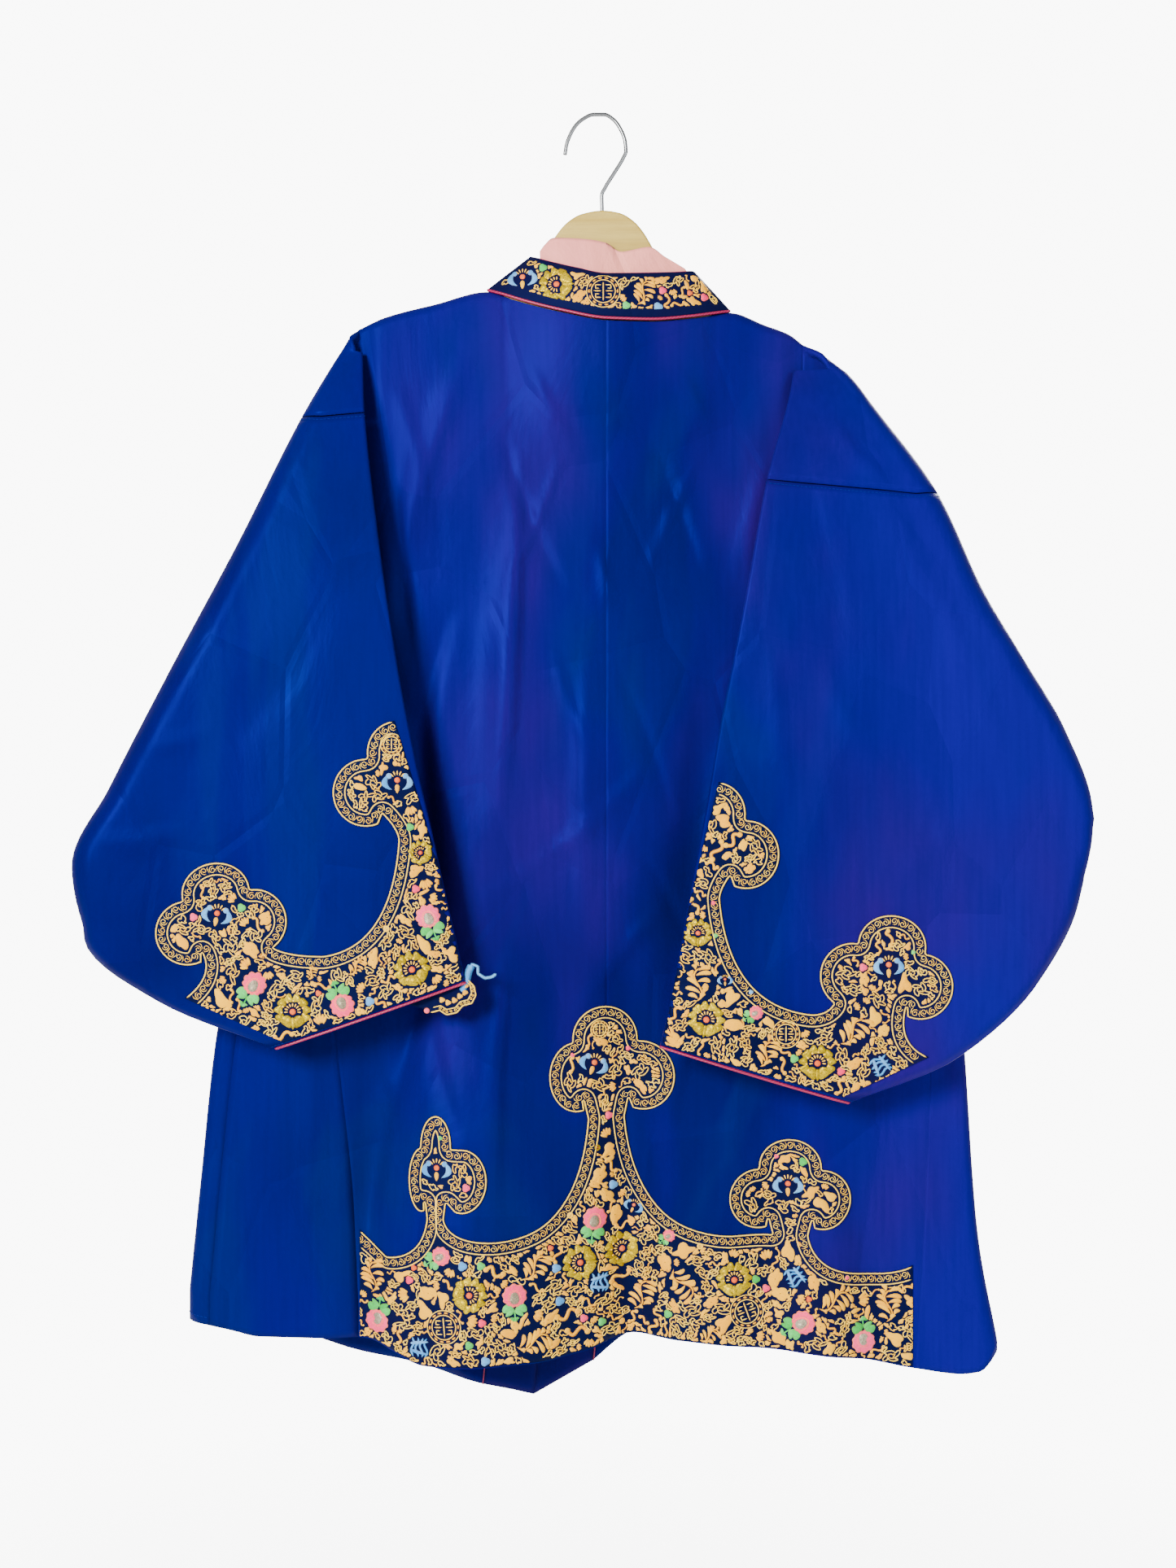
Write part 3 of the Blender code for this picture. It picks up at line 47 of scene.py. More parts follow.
bodyForm = {
    "wall": 1.3,
    "seamGap": -0.06,
    "armpit": -533.4,
    "hemLevel": -1092.0,
    "sideRise": 20.0,  # how far from the side folds the layers come apart, and at the foot
    "lowRise": 78.0,
    "neckReach": 170.0,
    "seamTop": 6.5,  # x of the back's middle seam
    "seamFoot": 7.5,
    "ridgeRows": 8,
    "ridgeHalf": 0.45,
    "ridgeFall": 5.0,
    "upperRows": 56,
    "lowerRows": 84,
    "backColumns": (60, 14),
    "frontColumns": (40, 12),
    "turnColumns": 12,
    "gussetColumns": 16,
    "bandColumns": 8,
    "bandTops": (-129, -143),
    "topLine": (  # shoulder line and back neckline: x, z, depth of the back edge
        (-212, -190, 0), (-188, -179, 0), (-144, -167.5, 0), (-98, -156.5, 0), (-84, -161.5, 7),
        (-62, -169.5, 15), (-30, -178.5, 22), (7, -185.5, 25), (45, -186.5, 24), (80, -182.5, 16),
        (100, -178.5, 8), (116, -175, 0), (147, -186, 0), (168, -194, 0), (180, -203, 0),
    ),
    "leftSide": (  # z, outer fold, back seam, front seam
        (-533, -272, -254, -265), (-620, -293, -252, -282), (-720, -316, -242, -303),
        (-830, -338, -230, -320), (-959, -351, -217, -333), (-1064, -361, -212, -342),
    ),
    "rightSide": (
        (-533, 303, 290, 292), (-620, 309, 292, 290), (-720, 316, 293, 290), (-830, 324, 292, 291),
        (-959, 333, 287, 293), (-1085, 352, 278, 298),
    ),
    "underTip": (  # z, left x, right x below the hanger ends
        (-190, -212, 180), (-533, -212, 180), (-830, -186, 190), (-1100, -166, 184),
    ),
    "sideGap": (  # z, half gap at the side folds
        (-190, 3), (-533, 3), (-640, 5), (-830, 9), (-1100, 13),
    ),
    "backHem": (  # x, z
        (-212, -1079), (-196, -1081), (-179, -1087), (-152, -1096), (-110, -1096.5), (-60, -1095),
        (-11, -1089), (12, -1082), (32, -1079), (82, -1082), (189, -1091), (278, -1105),
    ),
    "frontHem": (
        (-361, -1063), (-300, -1077), (-179, -1112), (-107, -1128), (-58, -1139), (-30, -1130),
        (-8, -1111), (36, -1082), (120, -1084), (250, -1104), (352, -1090),
    ),
    "gussetHemLeft": (
        (-361, -1063), (-321, -1072), (-300, -1077), (-212, -1079),
    ),
    "gussetHemRight": (
        (278, -1105), (319, -1110), (335, -1108), (352, -1090),
    ),
    "backFolds": (  # top x, z, foot x, z, half width, depth
        (-100, -520, -116, -1110, 68, 40), (-196, -640, -206, -1110, 20, -14),
        (18, -640, 31, -1110, 26, -27), (-80, -300, -88, -700, 22, 7), (-172, -480, -150, -820, 26, -8),
        (120, -560, 112, -1110, 24, 6), (196, -560, 196, -1110, 30, 12), (96, -420, 76, -860, 24, -7),
        (250, -760, 238, -1110, 20, -6), (-40, -800, -52, -1110, 20, 8), (-9, -420, -14, -760, 12, 5),
    ),
    "frontFolds": (
        (-120, -480, -170, -1110, 46, 22), (-230, -600, -262, -1100, 34, 13),
        (-60, -560, -112, -1120, 24, -7), (70, -460, 66, -1100, 42, 12), (170, -540, 190, -1100, 44, 24),
        (124, -620, 132, -1100, 24, -8), (262, -700, 270, -1100, 22, -6),
    ),
    "hollow": (  # z, back, front
        (-150, 8.2, 8.2), (-300, 9.5, 11), (-520, 12, 18), (-760, 13, 26), (-1110, 12, 34),
    ),
    "bandSeam": (  # z, left x, right x
        (-156.5, -98, 116), (-230, -88, 104), (-320, -66, 78), (-400, -54, 56), (-520, -52, 51),
        (-760, -72, 28), (-1128, -107, -8),
    ),
    "bandEdge": (
        (-129, -60, 90), (-230, -44, 60), (-320, -20, 32), (-400, -0.2, -0.8), (-520, -0.6, -1.2),
        (-760, -21.7, -22.3), (-1139, -57.7, -58.3),
    ),
}

neckForm = {
    "collarWall": 2.2,
    "collarCrown": 3.0,
    "liningWall": 1.1,
    "collarColumns": 96,
    "collarRows": 14,
    "collar": (  # bottom x, z, depth, top x, z, depth
        (-98, -154.5, 0.4, -60, -125.5, 0.4), (-84, -159.5, 8, -50, -129.5, 9),
        (-62, -167.5, 16, -38, -133, 11), (-30, -176.5, 23, -18, -138.5, 16),
        (7, -183.5, 26, 8, -143.5, 18), (45, -184.5, 25, 44, -143, 17), (80, -180.5, 17, 72, -141, 11),
        (100, -176.5, 9, 82, -140, 9), (116, -173, 0.4, 88, -143, 0.4),
    ),
    "liningTop": (  # x, z, depth
        (-52, -121.5, 7.2), (-47, -115, 7.3), (-39, -109.5, 7.6), (-14, -111, 9.8), (6, -114.5, 10.5),
        (20, -122.5, 10.5), (44, -118, 9.2), (58, -126, 7.8), (76, -136.5, 7.2),
    ),
}

sleeveForm = {
    "seamGap": 1.1,
    "seams": (70.6, 122),
    "leftStations": (0, 6, 13, 20, 34, 52, 70.6),
    "rightStations": (0, 7, 15, 23, 46, 70, 96, 122),
    "shoulderRings": 29,
    "sleeveRings": 84,
    "nearCells": 44,
    "arcCells": 18,
    "farCells": 16,
    "capCells": 6,
    # along, top fold x, z, outer fold x, z, underarm x, z,
    # near depth, bend radius, turn from, to, half gap, half gap at the edge
    "left": (
        (0, -212, -190, -212, -190, -212, -533, 0, 6, 180, 180, 3, 3),
        (6, -212, -196, -215, -195, -216, -533, -2, 5.5, 120, 180, 2.8, 2.5),
        (13, -211, -203, -220, -203, -222, -533, -6, 5.5, 60, 180, 2.8, 2),
        (20, -210, -212, -226, -213, -229, -533, -12, 6, 0, 180, 2.8, 1.7),
        (71, -206, -268, -257, -273, -275, -533, -36, 16.5, 0, 180, 4, 1.7),
        (180, -193, -377, -311, -387, -317, -576, -50, 20, 0, 180, 5.5, 1.8),
        (288, -177, -483, -367, -497, -359, -621, -58, 19, 0, 180, 6.5, 1.8),
        (382, -160, -571, -418, -599, -402, -664, -61, 17, 0, 180, 7, 1.8),
        (446, -145, -636, -450, -666, -436, -694, -62, 14, 0, 170, 7, 1.8),
        (497, -135, -682, -440, -726, -440, -726, -62, 14, 0, 60, 7.5, 1.8),
        (540, -126, -721, -372, -778, -372, -778, -62, 16, 0, 30, 8.5, 1.8),
        (582, -117, -761, -274, -816, -274, -816, -62, 18, 0, 16, 9, 1.8),
    ),
    "right": (
        (0, 180, -203, 180, -203, 180, -533, 0, 6, 180, 180, 3, 3),
        (7, 179, -210, 189, -209, 187, -533, -2, 5.5, 120, 180, 2.8, 2.5),
        (15, 177, -218, 202, -219, 195, -533, -6, 5.5, 60, 180, 2.8, 2),
        (23, 174, -228, 216, -230, 205, -533, -12, 6, 0, 180, 2.8, 1.7),
        (46, 169, -252, 237, -259, 228, -533, -24, 11.5, 0, 180, 3.2, 1.7),
        (122, 148, -327, 292, -341, 304, -533, -44, 18, 0, 180, 5, 1.7),
        (216, 131, -418, 329, -426, 341, -552, -54, 19, 0, 180, 6, 1.8),
        (288, 118, -485, 364, -488, 371, -578, -58, 18, 0, 180, 6.5, 1.8),
        (346, 107, -540, 398, -548, 398, -600, -60, 17, 0, 180, 7, 1.8),
        (418, 95, -610, 425, -622, 425, -622, -61, 14, 0, 110, 7, 1.8),
        (497, 81, -685, 410, -694, 410, -694, -62, 14, 0, 60, 7.5, 1.8),
        (562, 69, -749, 370, -766, 370, -766, -62, 16, 0, 34, 8.5, 1.8),
        (605, 61, -791, 298, -829, 298, -829, -62, 18, 0, 22, 9, 1.8),
        (631, 55, -816, 211, -863, 211, -863, -62, 18, 0, 16, 9, 1.8),
    ),
}

hangerForm = {
    "thick": 12.0,
    "round": 2.2,
    "hookRadius": 1.75,
    "top": (  # x, z from the left end
        (-191, -194), (-186, -185.5), (-146, -174.5), (-98, -165), (-72, -154), (-50, -125), (-39, -108.5),
        (-28.5, -95.7), (-14.5, -87.4), (3.2, -84.5), (18.5, -86.6), (30.6, -93.5), (39.5, -103.5),
        (51, -123), (70, -153), (88, -171), (116, -183), (145, -192), (156, -196.5), (160, -204),
    ),
    "bottom": (
        (156, -214), (116, -206), (60, -196), (3, -189), (-60, -192), (-140, -201), (-184, -209),
        (-191, -204),
    ),
    "hook": (
        (3.2, -97.5), (3.1, -84), (2.8, -71), (6.3, -62.5), (13.2, -51.5), (21.1, -38.6), (24.2, -31),
        (23.4, -22), (19.4, -11.6), (13.2, -3.2), (4.8, 1.3), (-4.4, 1.3), (-13, -2.2), (-19.9, -8.1),
        (-25.1, -16.8), (-28.3, -25.6), (-29.7, -34.3),
    ),
}

# start x, z, end x, z, half width, height (minus is a trough), bow; one row for each crease
backCreases = (
    (-114, -214, -196, -470, 13, 5.0, 6), (-70, -300, -90, -640, 9, 4.5, -5),
    (-78, -735, -92, -960, 8, 4.0, 3), (-84, -282, -30, -420, 6, -2.6, 4),
    (-30, -300, -82, -420, 5, 2.4, -3), (42, -282, 88, -402, 6, -2.6, -4), (92, -300, 44, -410, 5, 2.2, 3),
    (2, -385, 12, -436, 5, 2.6, 0), (-106, -694, 46, -570, 6, 2.6, 8), (18, -492, 66, -626, 5, -2.2, -5),
    (-128, -430, -160, -580, 14, -4.0, 6), (140, -430, 122, -570, 12, -4.0, -6),
    (-40, -470, -8, -560, 5, 1.8, 3), (60, -700, -20, -800, 7, 2.0, 6), (96, -760, 60, -900, 8, 2.4, 4),
    (-150, -760, -120, -900, 8, -2.4, 5), (30, -640, 84, -740, 6, -1.8, -4),
    (150, -880, 230, -1010, 9, 2.4, 5), (-60, -220, -20, -300, 8, 2.0, 3),
    (60, -215, 100, -290, 8, 2.2, -3), (-176, -240, -150, -380, 10, 3.0, -4),
    (150, -300, 128, -420, 9, 3.0, 4), (240, -900, 258, -1060, 9, 3.0, 3),
    (-250, -800, -262, -1040, 10, 3.0, -4), (200, -600, 232, -860, 12, -3.0, 5),
    (-156, -530, -138, -700, 13, -12.0, 3), (-138, -690, -182, -872, 13, -12.0, -4),
    (-180, -860, -206, -985, 12, -6.0, 0), (-176, -330, -160, -500, 9, -6.0, 3),
)
frontCreases = (
    (-90, -230, -150, -470, 11, 5.0, 6), (80, -260, 120, -470, 10, 4.0, -5),
    (-120, -560, -60, -720, 8, -3.0, 5), (60, -600, 130, -760, 8, 3.0, -5),
    (150, -800, 90, -980, 10, 3.0, 6), (-200, -760, -170, -1000, 11, 3.5, -5),
    (-60, -840, -120, -1000, 7, -2.5, 4), (220, -700, 240, -960, 10, -3.0, 4),
    (30, -480, 70, -580, 6, 2.0, 3),
)
sleeveCreases = (
    (-250, -250, -330, -420, 16, 1.6, 8), (-230, -430, -320, -560, 18, -1.2, -8),
    (-430, -640, -350, -630, 8, 1.0, 3), (-400, -560, -330, -545, 6, 0.8, 2),
    (-310, -330, -390, -500, 12, 1.0, 6), (236, -300, 330, -500, 16, 2.8, 9),
    (170, -300, 210, -520, 15, -2.2, -8), (300, -430, 390, -640, 14, 2.0, 8),
    (190, -480, 260, -600, 8, 2.2, 6), (250, -540, 300, -700, 8, -2.4, -6),
    (150, -470, 176, -640, 8, 2.0, 4), (320, -620, 250, -690, 9, 1.8, 5), (200, -270, 250, -330, 7, 2.0, 3),
    (360, -560, 420, -650, 11, -2.0, 5), (130, -560, 190, -600, 6, 1.6, -3),
    (215, -620, 205, -720, 7, 1.8, 4),
)

print("reading the forms")


def smooth(value):
    value = np.clip(value, 0.0, 1.0)
    return value * value * (3.0 - 2.0 * value)


def mix(first, second, share):
    return first + (second - first) * share


def unit(vector):
    length = np.linalg.norm(vector)
    return vector / length if length > 1e-6 else vector


def units(vectors):
    return vectors / np.maximum(np.linalg.norm(vectors, axis=-1, keepdims=True), 1e-9)


def runLengths(points):
    # how far along a line each of its points lies
    return np.concatenate(((0.0,), np.cumsum(np.linalg.norm(np.diff(points, axis=0), axis=1))))


def numbered(rows):
    return [(index, *values) for index, values in enumerate(rows)]


collarTable = numbered(neckForm["collar"])
curveStore = {}


def readCurve(table, at, column):
    # smooth reading of one column of a table by its first one, for one place or many
    name = (id(table), column)
    if name not in curveStore:
        rows = sorted(table, key=lambda row: row[0])
        keys = np.array([row[0] for row in rows], float)
        values = np.array([row[column] for row in rows], float)
        steps = np.diff(values) / np.diff(keys)
        before, after = steps[:-1], steps[1:]
        total = np.where(before * after > 0.0, before + after, 1.0)
        inner = np.where(before * after > 0.0, 2.0 * before * after / total, 0.0)
        slopes = np.concatenate(([steps[0]], inner, [steps[-1]]))
        curveStore[name] = (keys, values, slopes, table)  # keeps the table, so its id stays its own
    keys, values, slopes = curveStore[name][:3]
    at = np.clip(at, keys[0], keys[-1])
    place = np.clip(np.searchsorted(keys, at) - 1, 0, len(keys) - 2)
    span = keys[place + 1] - keys[place]
    t = (at - keys[place]) / span
    return (
        (2 * t**3 - 3 * t**2 + 1) * values[place]
        + (t**3 - 2 * t**2 + t) * slopes[place] * span
        + (3 * t**2 - 2 * t**3) * values[place + 1]
        + (t**3 - t**2) * slopes[place + 1] * span
    )


def readColumns(table, at, columns):
    return [readCurve(table, at, column) for column in columns]


def creaseDepth(creases, x, z):
    # soft ridges (positive) and troughs, each steeper on one flank, fading to both ends
    steep, gentle = 0.65, 1.3
    depth = np.zeros_like(x)
    for startX, startZ, endX, endZ, width, height, bow in creases:
        alongX, alongZ = endX - startX, endZ - startZ
        length = math.hypot(alongX, alongZ)
        share = ((x - startX) * alongX + (z - startZ) * alongZ) / length**2
        off = ((x - startX) * alongZ - (z - startZ) * alongX) / length
        inside = np.clip(share, 0.0, 1.0)
        off = off - bow * np.sin(math.pi * inside)
        flank = np.where(off < 0.0, steep, gentle) * width * (0.7 + 0.6 * inside)
        fade = np.where((share > 0.0) & (share < 1.0), np.sin(math.pi * inside) ** 0.7, 0.0)
        depth = depth + height * fade * np.exp(-(off / flank) ** 2)
    return depth


def foldDepth(folds, x, z):
    # long soft folds that hang straight down; those that reach the hem stay open there
    depth = np.zeros_like(x)
    for topX, topZ, footX, footZ, width, height in folds:
        share = (topZ - z) / (topZ - footZ)
        inside = np.clip(share, 0.0, 1.0)
        spread = (x - mix(topX, footX, share)) / (width * mix(0.7, 1.0, inside))
        fade = smooth(share) if footZ < -1000 else np.sin(math.pi * inside) ** 2
        depth = depth + np.where(share > 0.0, height * fade * np.exp(-spread * spread), 0.0)
    return depth


def sideLine(side, z, column):
    # the outer fold (1), the back seam (2) or the front seam (3) of one side
    return readCurve(bodyForm["leftSide" if side < 0 else "rightSide"], z, column)


def sideHem(side, x):
    return readCurve(bodyForm["gussetHemLeft" if side < 0 else "gussetHemRight"], x, 1)


def shoulderTip(side):
    return bodyForm["topLine"][0 if side < 0 else -1][0]


def sideShare(x, z):
    # 0 at the side folds, 1 where the layers stand their full way apart
    share = 0.0
    rise = mix(bodyForm["sideRise"], bodyForm["lowRise"], smooth((-300.0 - z) / 350.0))
    for side, word in sides:
        fold = mix(shoulderTip(side), sideLine(side, z, 1), smooth((-500.0 - z) / 100.0))
        inner = smooth((np.abs(fold) - np.abs(x)) / rise)
        share = share + np.where((x < 0) == (side < 0), inner, 0.0)
    return share


def bodyDepth(x, z, layer):
    # how far a layer of the body stands off the plane of the side folds; the back is layer -1
    x, z = np.asarray(x, float), np.asarray(z, float)
    hollow = readCurve(bodyForm["hollow"], z, 1 if layer < 0 else 2)
    inner = sideShare(x, z)
    depth = mix(readCurve(bodyForm["sideGap"], z, 1), hollow, inner)
    if layer > 0:
        depth = depth + foldDepth(bodyForm["frontFolds"], x, z) * inner
        return depth + creaseDepth(frontCreases, x, z) * inner
    neck = np.maximum(0.0, readCurve(bodyForm["topLine"], x, 2) - hollow)
    below = readCurve(bodyForm["topLine"], x, 1) - z
    depth = depth + neck * (1.0 - smooth(below / bodyForm["neckReach"]))
    depth = depth + foldDepth(bodyForm["backFolds"], x, z) * inner
    return depth + creaseDepth(backCreases, x, z) * smooth(below / 60.0) * inner


def bodyGrid(side, layer):
    # points of one body panel: over the round of the shoulder, down to the armpit, down to the hem
    form = bodyForm
    armpit, hemLevel, gap = form["armpit"], form["hemLevel"], form["seamGap"]
    columns, extra = form["backColumns"] if layer < 0 else form["frontColumns"]
    pick = 1 if side < 0 else 2
    share = np.arange(columns + extra + 1) / columns
    inner = np.minimum(share, 1.0)
    startX = form["seamTop"] + side * gap / 2 if layer < 0 else form["topLine"][3 if side < 0 else 11][0]
    topX = mix(startX, shoulderTip(side), inner)
    top, edge = readColumns(form["topLine"], topX, (1, 2))
    if layer > 0:
        edge = np.zeros_like(topX)

    def lowX(z):
        under = readCurve(form["underTip"], z, pick)
        if layer < 0:
            down = smooth((armpit - z) / (armpit - hemLevel))
            start, end = mix(form["seamTop"], form["seamFoot"], down) + side * gap / 2, sideLine(side, z, 2)
        else:
            start, end = readCurve(form["bandSeam"], z, pick), frontLimit(side, z)
        beyond = mix(under, end, (share - 1.0) * columns / extra)
        return np.where(share <= 1.0, mix(start, under, inner), beyond)

    depthTop = bodyDepth(topX, top - 10.0, layer)
    rows = []
    for angle in np.linspace(0.0, math.pi / 2, form["ridgeRows"] + 1):
        y = edge + form["ridgeHalf"] + np.maximum(0.0, depthTop - edge - form["ridgeHalf"]) * math.sin(angle)
        z = top - np.maximum(depthTop - edge, form["ridgeFall"]) * (1.0 - math.cos(angle))
        rows.append(np.stack((topX, layer * y, z), axis=1))
    start = rows[-1][:, 2]
    for row in range(1, form["upperRows"] + 1):
        down = row / form["upperRows"]
        z = mix(start, armpit, down)
        x = mix(topX, lowX(z), smooth(down * 8.0))
        rows.append(np.stack((x, layer * bodyDepth(x, z, layer), z), axis=1))
    for row in range(1, form["lowerRows"] + 1):
        down = row / form["lowerRows"]
        rows.append(lowPoints(side, layer, lowX(mix(armpit, hemLevel, down)), down))
    return np.array(rows), columns, form["ridgeRows"] + form["upperRows"]


def lowPoints(side, layer, x, down):
    # points on a layer below the armpit: each row is a share of the way to the hem
    form = bodyForm
    hem = readCurve(form["backHem"] if layer < 0 else form["frontHem"], x, 1)
    if layer < 0:
        hem = np.where(np.abs(x) > abs(sideLine(side, form["hemLevel"], 2)), sideHem(side, x), hem)
    z = mix(form["armpit"], hem, down)
    return np.stack((x, layer * bodyDepth(x, z, layer), z), axis=1)


def frontLimit(side, z):
    # where the flat stretch of the front layer ends
    if side > 0:
        return sideLine(side, z, 3)
    return sideLine(side, z, 1) - side * readCurve(bodyForm["sideGap"], z, 1)


def levelAt(down):
    return mix(bodyForm["armpit"], bodyForm["hemLevel"], down)


def sideTurn(side, down, angles):
    # points round the side fold; 0 is on the back layer, 180 on the front one
    level = levelAt(down)
    radius = readCurve(bodyForm["sideGap"], level, 1)
    turn = np.radians(np.asarray(angles, float))
    x = sideLine(side, level, 1) - side * radius + side * radius * np.sin(turn)
    return np.stack((x, -radius * np.cos(turn), mix(bodyForm["armpit"], sideHem(side, x), down)), axis=1)


def wrapLeftFront(grid):
    # the left front goes round the side fold to its seam on the back layer
    form = bodyForm
    first = form["ridgeRows"] + form["upperRows"]
    rows = []
    for row, line in enumerate(grid):
        down = max(0.0, (row - first) / form["lowerRows"])
        turn = sideTurn(-1, down, np.linspace(180.0, 0.0, form["turnColumns"] + 1)[1:])
        x = mix(turn[-1, 0], sideLine(-1, levelAt(down), 3), np.array((0.5, 1.0)))
        rows.append(np.concatenate((line, turn, lowPoints(-1, -1, x, down))))
    return np.array(rows)


def gussetGrid(side):
    # the left gusset lies flat between two seams of the back; the right one goes round the side fold
    form = bodyForm
    rows = []
    for row in range(form["lowerRows"] + 1):
        down = row / form["lowerRows"]
        start, seam = [sideLine(side, levelAt(down), column) for column in (2, 3)]
        start, seam = start + side * form["seamGap"], seam + form["seamGap"]
        end = seam if side < 0 else sideTurn(side, down, [0.0])[0, 0]
        x = mix(start, end, np.linspace(0.0, 1.0, form["gussetColumns"] + 1))
        line = lowPoints(side, -1, x, down)
        if side > 0:
            turn = sideTurn(side, down, np.linspace(0.0, 180.0, form["turnColumns"] + 1)[1:])
            line = np.concatenate((line, turn, lowPoints(side, 1, np.array([seam]), down)))
        rows.append(line)
    return np.array(rows)


def bandGrid(side, front):
    # front band: a plain strip beside the front panel's first column
    form = bodyForm
    pick = 1 if side < 0 else 2
    topZ, hemZ = front[0, 0, 2], front[-1, 0, 2]
    rows = []
    for row, line in enumerate(front):
        seamX, seamY, seamZ = line[0]
        edgeZ = mix(form["bandTops"][pick - 1], form["bandEdge"][-1][0], (topZ - seamZ) / (topZ - hemZ))
        edgeX = readCurve(form["bandEdge"], edgeZ, pick)
        share = np.linspace(0.0, 1.0, form["bandColumns"] + 1)
        x, z = mix(seamX - side * form["seamGap"], edgeX, share), mix(seamZ, edgeZ, share)
        y = bodyDepth(x, z, 1) if row > form["ridgeRows"] else np.full_like(x, seamY)
        rows.append(np.stack((x, y, z), axis=1))
    return np.array(rows)


def sleeveTable(side):
    return sleeveForm["left" if side < 0 else "right"]


def sleevePath(side, along):
    # middle line of the folded tube at one place, from the top fold round the outer fold to the underarm
    form = sleeveForm
    row = [float(value) for value in readColumns(sleeveTable(side), along, range(13))]
    nearEdge, fold, under = np.array(row[1:3]), np.array(row[3:5]), np.array(row[5:7])
    nearY, radius, turnFrom, turnTo, half, edge = row[7:13]
    turn = math.radians(turnTo - turnFrom)
    arc = radius * max(turn, 0.6)
    toFold = unit(fold - nearEdge) if along > 15.0 else np.array((float(side), -0.05))
    toUnder = under - fold
    toUnder = unit(toUnder) if np.linalg.norm(toUnder) > 2.0 else -toFold
    outward = unit(toFold - toUnder)
    start, end = math.radians(turnFrom), math.radians(turnTo)

    def step(angle):
        flat = toFold * math.cos(angle) if math.cos(angle) > 0 else toUnder * -math.cos(angle)
        return np.array((flat[0], math.sin(angle), flat[1]))

    near, bends, far = form["nearCells"], form["arcCells"], form["farCells"]
    pieces = bends * 4
    angles = start + turn * (np.arange(pieces) + 0.5) / pieces
    arcSteps = np.array([step(angle) for angle in angles]) * arc / pieces
    backReach = np.maximum(0.0, -np.cos(angles)).sum() * arc / pieces
    foreReach = np.maximum(0.0, np.cos(angles)).sum() * arc / pieces
    shortest = 4.0
    if turnFrom > 1.0:  # beside the armhole the layers still part from each other gradually
        nearLength = shortest
        backReach += (nearLength + edge) * max(0.0, -math.cos(start))
    else:
        nearLength = np.linalg.norm(fold - nearEdge) - foreReach
    farLength = max(np.linalg.norm(under - fold) - backReach, shortest)
    steps = [step(start) * nearLength / near] * near
    steps += list(arcSteps.reshape(bends, 4, 3).sum(axis=1))
    steps += [step(end) * farLength / far] * far
    points = np.concatenate((np.zeros((1, 3)), np.cumsum(steps, axis=0)))
    tangents = np.concatenate((
        np.full(near + 1, start), start + turn * np.arange(1, bends + 1) / bends, np.full(far, end)))
    if turnFrom > 1.0:
        shift = np.array((under[0], 0.0, under[1])) - points[-1]
        shift[1] = -points[-1][1]
    else:
        shift = np.array((nearEdge[0], nearY, nearEdge[1]))
    ways = np.stack((outward[0] * np.sin(tangents), -np.cos(tangents), outward[1] * np.sin(tangents)), axis=1)
    return points + shift, units(ways), half, edge


def sleeveRing(side, along, closed):
    # ring of the tube: the front layer from top fold to underarm and the back layer home again
    form = sleeveForm
    seam = form["seams"][0 if side < 0 else 1]
    points, ways, half, edge = sleevePath(side, along)
    lengths = runLengths(points)
    fromEdge = np.minimum(lengths, lengths[-1] - lengths) if closed else lengths
    gap = mix(edge, half, smooth(fromEdge / 70.0) ** 0.6)[:, None]
    crease = creaseDepth(sleeveCreases, points[:, 0], points[:, 2]) * smooth(fromEdge / 40.0)
    crease *= smooth((form["nearCells"] + form["arcCells"] * 0.5 - np.arange(len(points))) / 6.0)
    front = points + ways * (gap + crease[:, None])
    back = points - ways * gap
    first = form["nearCells"] + form["arcCells"]
    amount = 1.0 - smooth((along - seam) / 90.0)
    hang = smooth((np.arange(len(points)) - first) / (form["farCells"] - 1.0)) * amount
    x, z = points[:, 0], points[:, 2]
    front[:, 1] = mix(front[:, 1], bodyDepth(x, z, 1), hang)
    back[:, 1] = mix(back[:, 1], -bodyDepth(x, z, -1), hang)

    def cap(centre, way, outwards):
        outwards = unit(outwards)
        turn = math.pi * np.arange(1, form["capCells"]) / form["capCells"]
        return centre + edge * (way * np.cos(turn)[:, None] + outwards * np.sin(turn)[:, None])

    topCap = cap(points[0], ways[0], points[0] - points[1])
    if closed:
        endCap = cap(points[-1], ways[-1], points[-1] - points[-2])
        return np.concatenate((front, endCap, back[::-1], topCap[::-1]))
    return np.concatenate((back[::-1], topCap[::-1], front))


def shoulderGrid(side):
    form = sleeveForm
    stations = form["leftStations" if side < 0 else "rightStations"]
    steps = np.linspace(0, len(stations) - 1, form["shoulderRings"])
    places = np.interp(steps, range(len(stations)), stations)
    rings = [sleeveRing(side, along, False) for along in places]
    rings[0][:, 0] += side * bodyForm["seamGap"]
    return np.array(rings).transpose(1, 0, 2)


def sleeveGrid(side):
    start = sleeveForm["seams"][0 if side < 0 else 1] + sleeveForm["seamGap"]
    places = np.linspace(start, sleeveTable(side)[-1][0], sleeveForm["sleeveRings"])
    return np.array([sleeveRing(side, along, True) for along in places]).transpose(1, 0, 2)


def collarGrid():
    form = neckForm
    place = np.linspace(0, len(collarTable) - 1, form["collarColumns"] + 1)
    low, high = readColumns(collarTable, place, (1, 2, 3)), readColumns(collarTable, place, (4, 5, 6))
    rows = []
    for up in np.linspace(0.0, 1.0, form["collarRows"] + 1):
        crown = form["collarCrown"] * math.sin(math.pi * up) * np.sin(math.pi * place / place[-1])
        depth = mix(low[2], high[2], up) + crown + form["collarWall"] / 2
        rows.append(np.stack((mix(low[0], high[0], up), -depth, mix(low[1], high[1], up)), axis=1))
    return np.array(rows)


